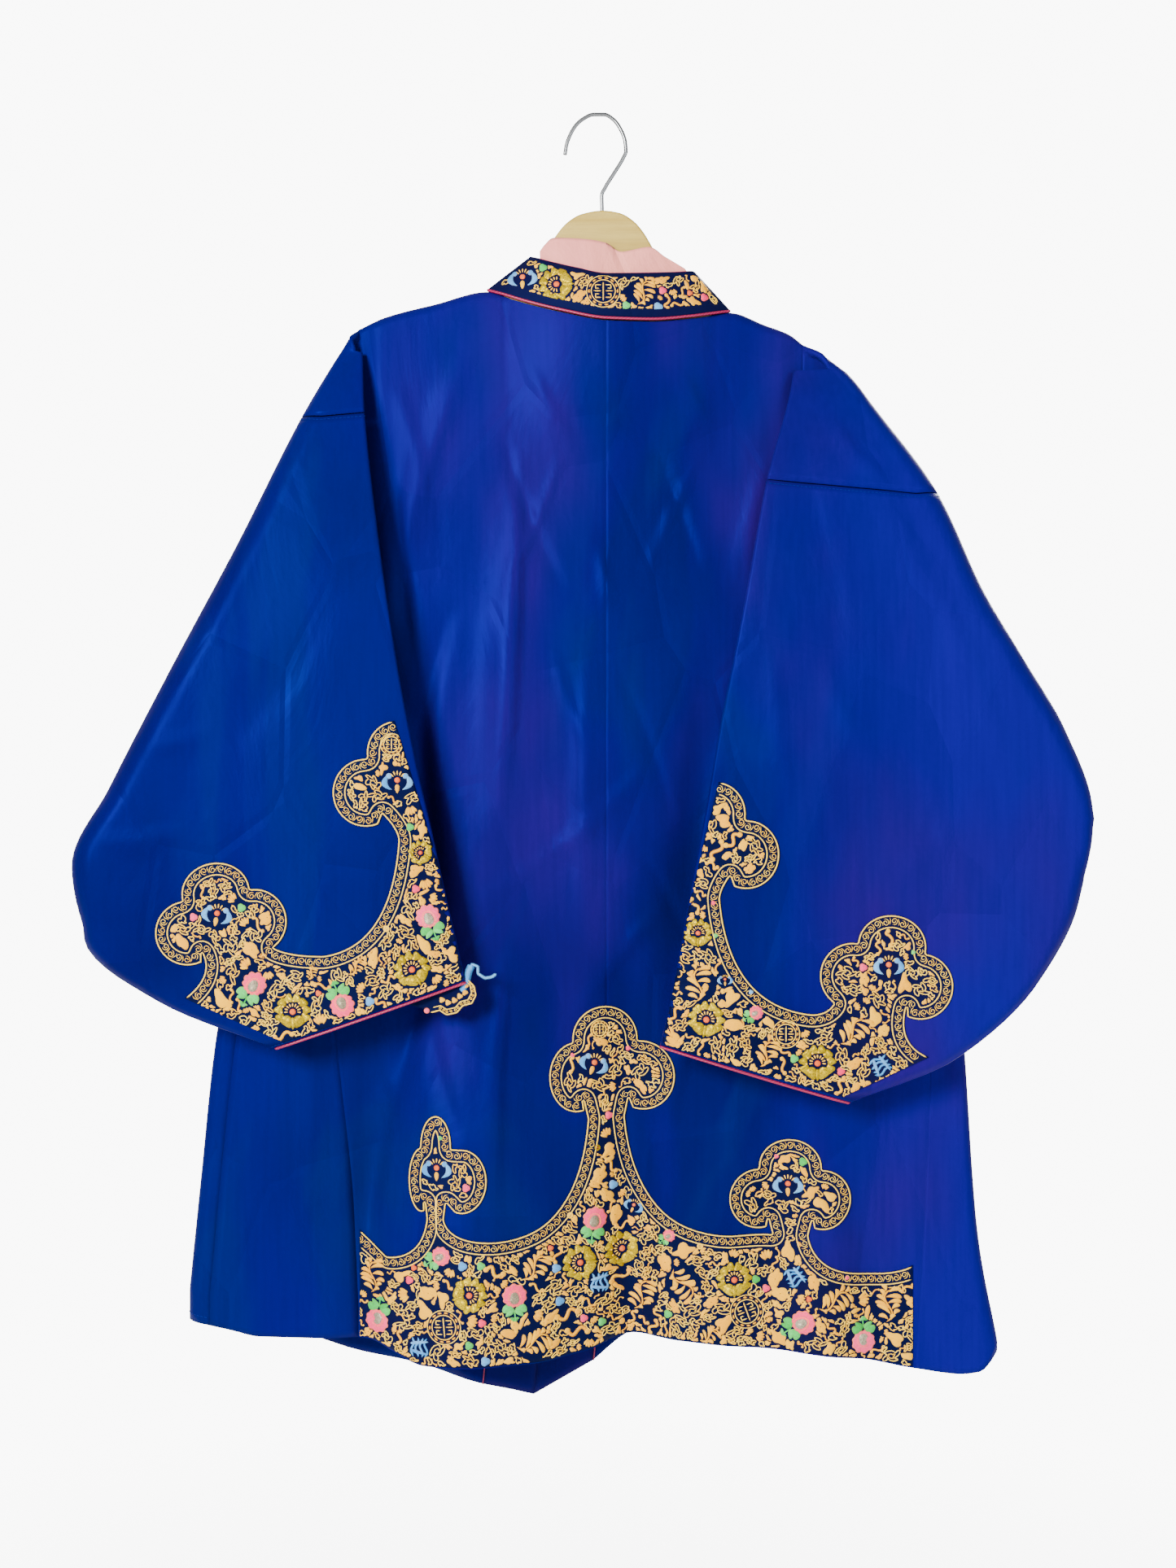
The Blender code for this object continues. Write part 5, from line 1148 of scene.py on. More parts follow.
def wallField(grids, outline, wall, margin=12.0, step=2.0):
    # outer face of the cloth round an outline, seen from the back by straight looks along y
    before, steepest, rounds = -300.0, 0.35, 12
    low, high = outline.min(axis=0) - margin, outline.max(axis=0) + margin
    points, faces = [], []
    for grid in grids:
        rows, columns = grid.shape[:2]
        first = len(points)
        points += [Vector(point) for point in grid.reshape(-1, 3)]
        for row in range(rows - 1):
            for column in range(columns - 1):
                corner = first + row * columns + column
                faces.append((corner, corner + 1, corner + columns + 1, corner + columns))
    tree = BVHTree.FromPolygons(points, faces)
    wide, tall = int((high[0] - low[0]) / step) + 2, int((high[1] - low[1]) / step) + 2
    depth, steep = np.full((wide, tall), np.nan), np.ones((wide, tall))
    for column in range(wide):
        for row in range(tall):
            start = Vector((low[0] + column * step, before, low[1] + row * step))
            spot, normal, index, far = tree.ray_cast(start, Vector((0.0, 1.0, 0.0)))
            if spot is not None:
                depth[column, row] = spot.y
                steep[column, row] = max(abs(normal.y), steepest)
    for turn in range(rounds):  # carry the edge values outwards
        ring = np.stack([np.roll(depth, shift, axis=axis) for shift in (-1, 1) for axis in (0, 1)])
        known = ~np.isnan(ring)
        mean = np.where(known, ring, 0.0).sum(axis=0) / np.maximum(known.sum(axis=0), 1)
        depth = np.where(np.isnan(depth) & known.any(axis=0), mean, depth)
    depth = np.where(np.isnan(depth), np.nanmean(depth), depth)
    return (low, step, depth), (low, step, steep), wall / 2


def layOn(cloth, points, lift):
    # flat points on the cloth's outer face, lifted off it
    depth, steep, wall = cloth
    x, z = points[:, 0], points[:, 1]
    out = (wall + lift) / gridRead(steep, x, z)
    return np.stack((x, gridRead(depth, x, z) - out, z), axis=1)


def groundPiece(name, outline, cloth, node=None):
    # the border's own cloth: cut flat, divided into even cells and laid on the panel
    work = bmesh.new()
    corners = [work.verts.new((x, z, 0.0)) for x, z in outline]
    rim = [work.edges.new((corners[index - 1], corners[index])) for index in range(len(corners))]
    bmesh.ops.triangle_fill(work, edges=rim, use_beauty=True)
    low, high, cell = outline.min(axis=0), outline.max(axis=0), cloudForm["cell"]
    for axis, way in enumerate(((1.0, 0.0, 0.0), (0.0, 1.0, 0.0))):
        for place in np.arange(low[axis] + cell / 2, high[axis], cell):
            everything = work.verts[:] + work.edges[:] + work.faces[:]
            bmesh.ops.bisect_plane(work, geom=everything, plane_co=Vector(way) * place, plane_no=way)
    flat = np.array([vertex.co[:2] for vertex in work.verts])
    spots = layOn(cloth, flat, cloudForm["lift"] + cloudForm["wall"] / 2)
    uvLayer = work.loops.layers.uv.new("UVMap")
    for vertex, spot in zip(work.verts, spots):
        vertex.co = spot * mm
    for face in work.faces:
        face.smooth = True
        for corner in face.loops:
            corner[uvLayer].uv = (corner.vert.co.x, corner.vert.co.z)
    bmesh.ops.recalc_face_normals(work, faces=work.faces)
    return fitted(thickened(meshPiece(name, work, navySatin), cloudForm["wall"]), node)


borders = {}
for word, (upper, lower), grids, first, node in (
    ("hem", hemLine(), list(bodyWalls.values()), 0, "hem_border"),
    ("left", cuffLine(-1), [sleeveWalls["left"]], 1, "cuff_border_left"),
    ("right", cuffLine(1), [sleeveWalls["right"]], 1, "cuff_border_right"),
):
    steps = cloudForm["steps"]
    outline = np.concatenate((spaced(upper, steps[0]), spaced(lower, steps[1])[first:]))
    cloth = wallField(grids, outline, bodyForm["wall"])
    groundPiece("ground_" + word, outline, cloth, node)
    borders[word] = (upper, lower, outline, cloth)


print("embroidery")
stitchForm = {
    "edging": 12.2,
    "line": 0.52,  # half width of a couched cord
    "sink": 0.12,  # how far the stitches stand in their ground
    "gap": 0.45,
    "stretch": 1.32,  # how much longer the gold motifs grow along the flow than across it
    "reach": 12.0,  # the furthest that a gold motif may spread
    "rays": 40,
    "sizes": ((7.4, 600), (5.7, 1400), (4.3, 3200), (3.1, 7000), (2.2, 9000), (1.7, 9000)),  # radius, tries
    "curls": 7.4,  # from one scroll of the edging to the next
    "curlRadius": 3.4,
    "edgeLines": (0.9, 5.6, 10.7),  # outer cord, scrolls and inner cord, from the border's edge
    "least": 2.4,  # radius of the smallest motif that is drawn by its place
    "batch": 3000,
}
threadSlots = tuple(threads)
rng = np.random.default_rng(11)


def waysAt(angles):
    return np.stack((np.cos(angles), np.sin(angles)), axis=-1)


def evenTurns(count):
    return 2 * math.pi * np.arange(count) / count


def softened(values):
    return (np.roll(values, 1, axis=0) + 2 * values + np.roll(values, -1, axis=0)) / 4


def insideLine(outline, points):
    x, z = points[:, 0], points[:, 1]
    hit = np.zeros(len(points), bool)
    for (x1, z1), (x2, z2) in zip(outline, np.roll(outline, 1, axis=0)):
        if z1 != z2:
            hit ^= ((z1 > z) != (z2 > z)) & (x < (x2 - x1) * (z - z1) / (z2 - z1) + x1)
    return hit


def nearest(points, line):
    # distance from each point to the nearest point of a line
    gaps = [np.hypot(part[:, None, 0] - line[None, :, 0], part[:, None, 1] - line[None, :, 1]).min(axis=1)
            for part in np.array_split(points, max(1, len(points) // 4000))]
    return np.concatenate(gaps)


def roomField(upper, lower, outline, edging, step):
    # how much room each place inside the border has for a motif
    low, high = outline.min(axis=0) - 8.0, outline.max(axis=0) + 8.0
    axes = [low[axis] + step * np.arange(int((high[axis] - low[axis]) / step) + 2) for axis in (0, 1)]
    points = np.stack(np.meshgrid(*axes, indexing="ij"), axis=2).reshape(-1, 2)
    room = np.minimum(nearest(points, spaced(upper, 1.5)) - edging, nearest(points, spaced(lower, 1.5)) - 0.5)
    room = np.where(insideLine(outline, points), room, -np.abs(nearest(points, spaced(outline, 2.0))))
    return low, step, room.reshape(len(axes[0]), len(axes[1]))


def insetLine(line, inset, side, smoothing=2):
    # a line moved inwards, less the loops that it would make in narrow places
    fine = spaced(line, 1.6)
    ways = np.diff(fine, axis=0)
    angles = np.unwrap(np.arctan2(ways[:, 1], ways[:, 0])) + side * math.pi / 2
    spots = []
    for index in range(1, len(fine) - 1):
        steps = max(2, int(abs(angles[index] - angles[index - 1]) / 0.2))
        spots.append(fine[index] + inset * waysAt(np.linspace(angles[index - 1], angles[index], steps)))
    spots = np.concatenate(spots)
    spots = spaced(spots[nearest(spots, fine) > inset - 0.25], 2.0)
    for turn in range(smoothing):
        spots[1:-1] = softened(spots)[1:-1]
    return spots


class Stitching:
    # everything stitched on one border, kept flat as x, z and height until it is laid on the cloth

    def __init__(self):
        self.stored = []
        self.start()

    def start(self):
        self.work = bmesh.new()
        self.marks = [self.work.verts.layers.float.new(name) for name in ("tint", "turn", "rim")]

    def store(self, most=0):
        # small batches keep the mesh operators quick
        if len(self.work.verts) > most:
            self.stored.append(bpy.data.meshes.new("stitches"))
            self.work.to_mesh(self.stored[-1])
            self.work.free()
            self.start()

    def settle(self, verts, spots, rims, slot, tint, turn):
        number = threadSlots.index(slot)
        tint = rng.random() if tint is None else tint
        turn = rng.random() * math.pi if turn is None else turn
        for vertex, spot, rim in zip(verts, spots, rims):
            vertex.co = spot
            for mark, value in zip(self.marks, (tint, turn, rim)):
                vertex[mark] = value
        for vertex in verts:
            for face in vertex.link_faces:
                face.material_index = number
                face.smooth = True

    def cord(self, line, slot="pale", half=stitchForm["line"], high=0.55, tint=None, closed=False):
        # a couched cord, three-sided in section, drawn to a point at both ends
        self.store(stitchForm["batch"])
        line = np.concatenate((line, line[:1])) if closed else np.asarray(line)
        count = len(line) - 1
        ways = np.gradient(line, axis=0)
        if closed:
            ways[0] = ways[-1] = line[1] - line[-2]
        ways = units(ways)
        verts = bmesh.ops.create_grid(self.work, x_segments=3, y_segments=count, size=0.5)["verts"]
        flat = np.array([vertex.co[:] for vertex in verts])
        row = np.rint((flat[:, 1] + 0.5) * count).astype(int)
        column = np.rint((flat[:, 0] + 0.5) * 3).astype(int)
        ends = np.ones(len(verts)) if closed else np.where((row == 0) | (row == count), 0.02, 1.0)
        across = np.array((-half, 0.0, half, -half))[column] * ends
        height = np.where(column == 1, high * ends, -stitchForm["sink"])
        spots = line[row] + np.stack((-ways[row, 1], ways[row, 0]), axis=1) * across[:, None]
        self.settle(verts, np.column_stack((spots, height)), np.zeros(len(verts)), slot, tint, 0.0)

    def pad(self, shape, slot="gold", high=0.7, tint=None, turn=None, segments=24, edge=0.75):
        # a padded satin-stitch shape; shape turns places in a unit disc into flat places
        self.store(stitchForm["batch"])
        verts = bmesh.ops.create_cone(self.work, cap_ends=True, cap_tris=True, segments=segments,
                                      radius1=1.0, radius2=0.5, depth=1.0)["verts"]
        flat = np.array([vertex.co[:] for vertex in verts])
        away = np.hypot(flat[:, 0], flat[:, 1])
        top, middle = flat[:, 2] > 0.0, away < 0.1
        unitWay = flat[:, :2] / np.maximum(away, 1e-6)[:, None]
        centre = shape(np.zeros_like(unitWay))
        size = np.linalg.norm(shape(unitWay) - centre, axis=1)
        inner = np.clip(1.0 - edge / np.maximum(size, 1e-6), 0.35, 0.9)
        share = np.where(middle, 0.0, np.where(top, inner, 1.0))
        height = np.where(top, np.where(middle, high * 1.15, high), -stitchForm["sink"])
        spots = np.column_stack((shape(unitWay * share[:, None]), height))
        self.settle(verts, spots, (away > 0.9).astype(float), slot, tint, turn)

    def blob(self, centre, radii, slot="gold", high=0.7, edge=0.75):
        turns, reach = np.linspace(0.0, 2 * math.pi, len(radii) + 1), np.append(radii, radii[0])

        def shape(disc):
            angle = np.arctan2(disc[:, 1], disc[:, 0]) % (2 * math.pi)
            return np.array(centre) + disc * np.interp(angle, turns, reach)[:, None]

        self.pad(shape, slot, high, segments=len(radii), edge=edge)

    def leaf(self, start, end, wide, bow=0.0, slot="gold", high=0.6, tint=None, taper=0.35, segments=12):
        # a leaf or comma: an oval along a bowed line
        way, middle = (end - start) / 2, (start + end) / 2
        side = np.array((-way[1], way[0])) / max(np.linalg.norm(way), 1e-6)

        def shape(disc):
            along, across = disc[:, :1], disc[:, 1:]
            spot = middle + way * along + side * bow * (1.0 - along**2)
            return spot + side * across * wide * (1.0 - taper * along)

        self.pad(shape, slot, high, tint, math.atan2(way[1], way[0]), segments, 0.5)

    def curl(self, centre, radius, start, turns, way, half=0.42, count=14):
        # a spiral drawn inwards
        share = np.linspace(0.0, 1.0, count + 1)
        reach = radius * (1.0 - 0.78 * share**0.85)
        line = centre + waysAt(start + way * turns * 2 * math.pi * share) * reach[:, None]
        self.cord(line, "pale", half, 0.45)

    def ring(self, centre, radius, half, count):
        self.cord(centre + radius * waysAt(evenTurns(count)), "pale", half, closed=True)

    def place(self, name, cloth, outline=None):
        # everything so far becomes one piece on the cloth
        self.store()
        for mesh in self.stored:
            self.work.from_mesh(mesh)
            bpy.data.meshes.remove(mesh)
        spots = np.array([vertex.co[:] for vertex in self.work.verts])
        if outline is not None:  # nothing hangs over the edge
            rim = spaced(np.concatenate((outline, outline[:1])), 0.5)
            for index in np.flatnonzero(~insideLine(outline, spots[:, :2])):
                spots[index, :2] = rim[np.hypot(*(rim - spots[index, :2]).T).argmin()]
        base = cloudForm["lift"] + cloudForm["wall"] if name != "collar" else 0.0
        laid = layOn(cloth, spots[:, :2], base + spots[:, 2])
        for vertex, spot in zip(self.work.verts, laid):
            vertex.co = spot * mm
        bmesh.ops.remove_doubles(self.work, verts=self.work.verts, dist=0.2 * weld)
        bmesh.ops.recalc_face_normals(self.work, faces=self.work.faces)
        item = meshPiece("embroidery_" + name, self.work, threads[threadSlots[0]])
        item.data.validate()
        for slot in threadSlots[1:]:
            item.data.materials.append(threads[slot])
        return fitted(item)


def motifFrame(x, z, size, angle):
    # turns places in a motif's own units into flat places on the border
    cosine, sine = math.cos(angle), math.sin(angle)

    def at(across, up):
        across, up = across * size, up * size
        return np.array((x + across * cosine - up * sine, z + across * sine + up * cosine))

    return at


def pinkFlower(stitch, at, size, angle):
    # a scalloped horseshoe of petals round a pointed heart, on three leaves and a stem
    turns = evenTurns(44)
    up = np.sin(turns - angle)
    radii = size * (0.62 + 0.10 * np.abs(np.cos(5.5 * (turns - angle) + 0.3))) * (1.0 + 0.24 * up)
    stitch.blob(at(0, 0.16), radii, "pink", 0.75, 0.6)
    inner = 0.27 * size * (1.0 + 0.55 * np.maximum(up, 0.0) ** 3)
    stitch.blob(at(0, 0.10), inner + 0.05 * size, "silver", 1.05)
    heart = at(0, 0.10) + (inner + 0.10 * size)[:, None] * waysAt(turns)
    stitch.cord(heart, "pale", 0.34, 1.15, closed=True)
    for way in (-1, 1):
        start = at(way * 0.04, -0.46)
        stitch.leaf(start, at(way * 0.72, -0.52), 0.25 * size, way * 0.10 * size, "green",
                    taper=-0.2, segments=18)
        stitch.leaf(start, at(way * 0.52, -0.86), 0.17 * size, 0.0, "green")
        stitch.leaf(at(0, -1.18), at(way * 0.28, -0.94), 0.11 * size, way * 0.06 * size, "green")
    stem = [at(0.04 * math.sin(5 * up), up) for up in (-0.4, -0.7, -1.0, -1.22)]
    stitch.cord(stem, "green", 0.055 * size, 0.8)


def fringe(stitch, centre, near, far, start, end, count):
    wide = 0.36 * (end - start) * (near + far) / 2 / count
    for way in waysAt(np.linspace(start, end, count)):
        stitch.leaf(centre + near * way, centre + far * way, wide, 0.0, "pale", 0.55, 0.2, -0.3)


def sequinFlower(stitch, at, size, angle):
    # rings of sequined petals round a fringed orange heart
    fringe(stitch, at(0, 0.02), 0.24 * size, 0.46 * size, angle - 0.1, angle + 3.24, 9)
    stitch.blob(at(0, 0), np.full(16, 0.18 * size), "orange", 0.95)
    for turn in np.linspace(-0.42, math.pi + 0.42, 8):
        radii = 0.245 * size * (1.0 + 0.16 * np.cos(3 * evenTurns(20) + turn))
        stitch.blob(at(*0.75 * waysAt(turn)), radii, "sequin", 0.8)
        stitch.blob(at(*0.60 * waysAt(turn + 0.2)), np.full(10, 0.085 * size), "pale", 1.0)
    for way in (-1, 1):
        stitch.leaf(at(way * 0.10, -0.86), at(way * 0.62, -0.30), 0.30 * size, way * 0.10 * size,
                    "sequin", 0.85, taper=-0.25, segments=20)
        stitch.curl(at(way * 0.26, -0.50), 0.2 * size, angle, 1.2, way, 0.36)
    stitch.leaf(at(0, -0.28), at(0, -0.98), 0.12 * size, 0.0, "sequin", 1.0)


def blueScroll(stitch, at, size, angle):
    # two blue horns round a fringed orange heart with a gold leaf below
    stitch.blob(at(0, 0.1), np.full(16, 0.2 * size), "orange", 0.95)
    fringe(stitch, at(0, 0.1), 0.3 * size, 0.62 * size, angle + 0.75, angle + 2.4, 5)
    for way in (-1, 1):
        stitch.leaf(at(way * 0.32, -0.52), at(way * 0.62, 0.42), 0.2 * size, -way * 0.34 * size,
                    "sky", 0.8, taper=-0.35, segments=20)
        stitch.blob(at(way * 0.52, 0.36), np.full(14, 0.2 * size), "sky", 0.9)
    stitch.leaf(at(0, -0.15), at(0, -0.75), 0.15 * size)


def medallion(stitch, at, size, angle):
    # rings, a ring of dashes and even strokes that say nothing
    stitch.ring(at(0, 0), 0.97 * size, 0.55, 48)
    stitch.ring(at(0, 0), 0.70 * size, 0.6, 40)
    spread = math.pi / 14 * 0.72
    for turn in evenTurns(14) + angle:
        dash = at(0, 0) + 0.835 * size * waysAt(turn + np.linspace(-spread, spread, 4))
        stitch.cord(dash, "gold", 0.065 * size, tint=0.5)
    strokes = [((0.0, 0.95), (0.0, -0.95))]
    for way in (-1, 1):
        high, low = [((way * 0.16, 0.62 * up), (way * 0.72, 0.62 * up), (way * 0.72, 0.28 * up),
                      (way * 0.36, 0.28 * up)) for up in (1, -1)]
        strokes += [high, ((way * 0.18, 0.02), (way * 0.94, 0.02)), low]
    for stroke in strokes:
        line = spaced(np.array([at(0.62 * across, 0.62 * up) for across, up in stroke]), 1.6)
        stitch.cord(line, "pale", 0.68, 0.6)


def bundle(stitch, at, size, angle):
    # rolled scarves tied together
    for row in range(4):
        line = [at(across, (row - 1.5) * 0.36 + 0.13 * math.sin(5.0 * across + row))
                for across in np.linspace(-0.78, 0.78, 9)]
        stitch.cord(line, "sky", 0.11 * size, 0.8)
    for way in (-1, 1):
        stitch.leaf(at(way * 0.25, 0.75), at(way * 0.5, -0.8), 0.13 * size, way * 0.2, "sky", 1.0)


def spray(stitch, at, size, angle):
    # a branching scroll: a bowed stem with commas at both sides
    def bow(across):
        return 0.30 * math.sin(3.2 * across)

    stitch.cord([at(across, bow(across)) for across in np.linspace(-0.92, 0.92, 14)], "gold", 0.95, 0.7)
    for place in (-0.75, -0.45, -0.15, 0.15, 0.45, 0.75):
        for way in (-1, 1):
            reach = (0.78 - 0.4 * place**2) * rng.uniform(0.75, 1.0)
            head = at(place + rng.uniform(0.1, 0.42), way * reach)
            stitch.leaf(at(place, bow(place) + way * 0.08), head, 0.12 * size, -way * 0.09 * size,
                        "gold", 0.65, taper=-0.5, segments=14)


def accent(slot):
    def small(stitch, at, size, angle):
        radii = size * (0.74 + 0.22 * np.abs(np.cos(1.5 * evenTurns(24) + angle)))
        stitch.blob(at(0, 0), radii, slot, 0.75, 0.5)
    return small


def flowAt(x, z):
    # the way in which the gold motifs grow, as an angle that changes slowly over the border
    return (1.9 * np.sin(0.052 * x + 0.6) + 1.6 * np.sin(0.061 * z + 0.035 * x)
            + 0.9 * np.sin(0.13 * x - 0.11 * z))


def cellRadii(site, size, metric, sites, sizes, features, room):
    # how far a motif may reach: halfway to its neighbours, clear of the features and of the edge
    ways, most = waysAt(evenTurns(stitchForm["rays"])), stitchForm["reach"]
    gaps = (sites - site) @ np.linalg.inv(metric).T
    far = np.hypot(gaps[:, 0], gaps[:, 1])
    near = np.argsort(far)[1:15]
    facing = gaps[near] @ ways.T
    half = (far[near] ** 2 + size**2 - sizes[near] ** 2)[:, None] / 2
    radii = np.where(facing > 1e-3, half / np.maximum(facing, 1e-3), 99.0).min(axis=0) - stitchForm["gap"] / 2
    steps = np.arange(0.4, most, 0.4)
    spots = site + (ways @ metric.T)[:, None] * steps[None, :, None]
    full = gridRead(room, spots[..., 0], spots[..., 1]) < 0.0
    for centre, reach in features:
        if math.dist(site, centre) < reach + 16.0:
            full |= np.hypot(spots[..., 0] - centre[0], spots[..., 1] - centre[1]) < reach + 0.3
    first = np.where(full.any(axis=1), steps[full.argmax(axis=1)], most)
    radii = np.minimum(np.minimum(radii, most), first - 0.3)
    for turn in range(3):
        radii = np.minimum(softened(radii), radii + 0.3)
    return np.maximum(radii, 0.4)


def sownSites(room, outline, features, sizeTable):
    # places, sizes and stretches of gold motifs over all the room that the features leave
    low, high = outline.min(axis=0), outline.max(axis=0)
    sites, sizes, metrics = np.zeros((0, 2)), np.zeros(0), []
    for size, tries in sizeTable:
        spots = low + rng.random((tries, 2)) * (high - low)
        for spot in spots[gridRead(room, spots[:, 0], spots[:, 1]) > 0.40 * size]:
            angle = float(flowAt(*spot))
            turn = np.array(((math.cos(angle), -math.sin(angle)), (math.sin(angle), math.cos(angle))))
            metric = turn @ np.diag((stitchForm["stretch"], 1.0 / stitchForm["stretch"]))
            gaps = (sites - spot) @ np.linalg.inv(metric).T
            crowded = (np.hypot(gaps[:, 0], gaps[:, 1]) < (sizes + size) * 0.97).any()
            if crowded or any(math.dist(spot, centre) < reach + size * 0.7 for centre, reach in features):
                continue
            sites, sizes = np.vstack((sites, spot)), np.append(sizes, size)
            metrics.append(metric)
    return sites, sizes, metrics


def sprinkle(stitch, room, outline, features, sizeTable):
    sites, sizes, metrics = sownSites(room, outline, features, sizeTable)
    rays = stitchForm["rays"]
    angles = evenTurns(rays)
    for site, size, metric in zip(sites, sizes, metrics):
        reach = cellRadii(site, size, metric, sites, sizes, features, room)
        mean = reach.mean()
        if mean < 0.9:
            continue
        kind, phase = rng.random(), rng.random() * 2 * math.pi

        def padOn(radii):
            line, turns = np.append(radii, radii[0]), np.append(angles, 2 * math.pi)

            def shape(disc):
                turn = np.arctan2(disc[:, 1], disc[:, 0]) % (2 * math.pi)
                return site + (disc * np.interp(turn, turns, line)[:, None]) @ metric.T

            stitch.pad(shape, "gold", 0.5, segments=rays if mean > 2.4 else rays // 2, edge=0.85)

        if mean < 2.3:
            padOn(reach * (0.93 - 0.07 * np.cos(2 * angles + phase)))
        elif kind < 0.52 and mean > 2.7:  # closed meander
            lobes = rng.integers(4, 7) if mean > 4.6 else rng.integers(3, 5)
            bent = angles + 1.3 / lobes * np.sin(lobes * angles + phase + 1.4)
            waves = 0.76 + 0.27 * np.cos(lobes * angles + phase) - 0.06 * np.cos(2 * angles + phase) ** 2
            line = softened(site + (((reach - 0.2) * waves)[:, None] * waysAt(bent)) @ metric.T)
            stitch.cord(line, "pale", 0.62, 0.6, closed=True)
            if mean > 4.2:
                stitch.cord(site + 0.46 * (line[::2] - site), "pale", 0.55, 0.6, closed=True)
        elif kind < 0.64:  # five petals with a dark middle
            padOn(reach * (0.67 + 0.33 * np.abs(np.cos(2.5 * angles + phase)) ** 0.6))
            if mean > 2.8:
                stitch.blob(site, np.full(8, 0.6), "navy", 1.0)
        elif kind < 0.74 and mean > 3.0:  # a fan of petals
            foot = site - 0.7 * mean * waysAt(phase)
            for spread in np.linspace(-0.95, 0.95, 5):
                head = site + 0.92 * mean * waysAt(phase + spread)
                stitch.leaf(foot + 0.3 * (head - foot), head, 0.18 * mean, taper=-0.35)
        elif kind < 0.86 and mean > 2.6:  # a bent scroll with round ends
            share = np.linspace(-1.0, 1.0, 15)
            bend = rng.choice((-1.0, 1.0)) * 0.52 * np.sin(math.pi * share * rng.uniform(0.8, 1.15))
            ends = np.interp((0.0, math.pi), angles, reach)
            along = np.where(share > 0.0, share * ends[0], share * ends[1]) * 0.86
            line = site + np.stack((along, bend * mean), axis=1) @ metric.T
            stitch.cord(line, "gold", 0.25 * mean, 0.6)
            for place in (0, -1):
                stitch.blob(line[place], np.full(14, 0.34 * mean), "gold", 0.62)
        else:  # a lobed blob
            padOn(reach * (0.86 + 0.17 * np.cos(rng.integers(2, 5) * angles + phase)))


def edgingOn(stitch, upper, side, outline):
    # two cords along the border's edge with small scrolls between them
    outer, between, inner = stitchForm["edgeLines"]
    for inset, half, smoothing in ((outer, 0.8, 0), (inner, 0.72, 2)):
        line = insetLine(upper, inset, side, smoothing)
        stitch.cord(line[insideLine(outline, line)], "pale", half, 0.75, 0.8)
    middle, radius = insetLine(upper, between, side), stitchForm["curlRadius"]
    spots = spaced(middle[insideLine(outline, middle)], stitchForm["curls"])[:-1]
    for index, (spot, way) in enumerate(zip(spots, np.gradient(spots, axis=0))):
        angle, flip = math.atan2(way[1], way[0]), 1 if index % 2 else -1
        across, lean = flip * waysAt(angle + math.pi / 2), way / stitchForm["curls"]
        stitch.curl(spot + 0.5 * across, radius, angle - flip * 2.0, 1.45, flip)
        start = spot + stitchForm["curls"] / 2 * waysAt(angle)
        stitch.cord([start - radius * across, start - across + 0.8 * lean,
                     start + 1.2 * across, start + 3.3 * across - 0.9 * lean], "pale", 0.42, 0.45)


motifs = {  # how each kind is drawn and its usual radius
    "pink": (pinkFlower, 15.0), "sequin": (sequinFlower, 16.0), "medallion": (medallion, 15.0),
    "scroll": (blueScroll, 13.5), "bundle": (bundle, 11.0), "spray": (spray, 16.0),
    "roseDot": (accent("pink"), 4.0), "greenDot": (accent("green"), 4.2), "skyDot": (accent("sky"), 4.6),
    "orangeDot": (accent("orange"), 3.0),
}

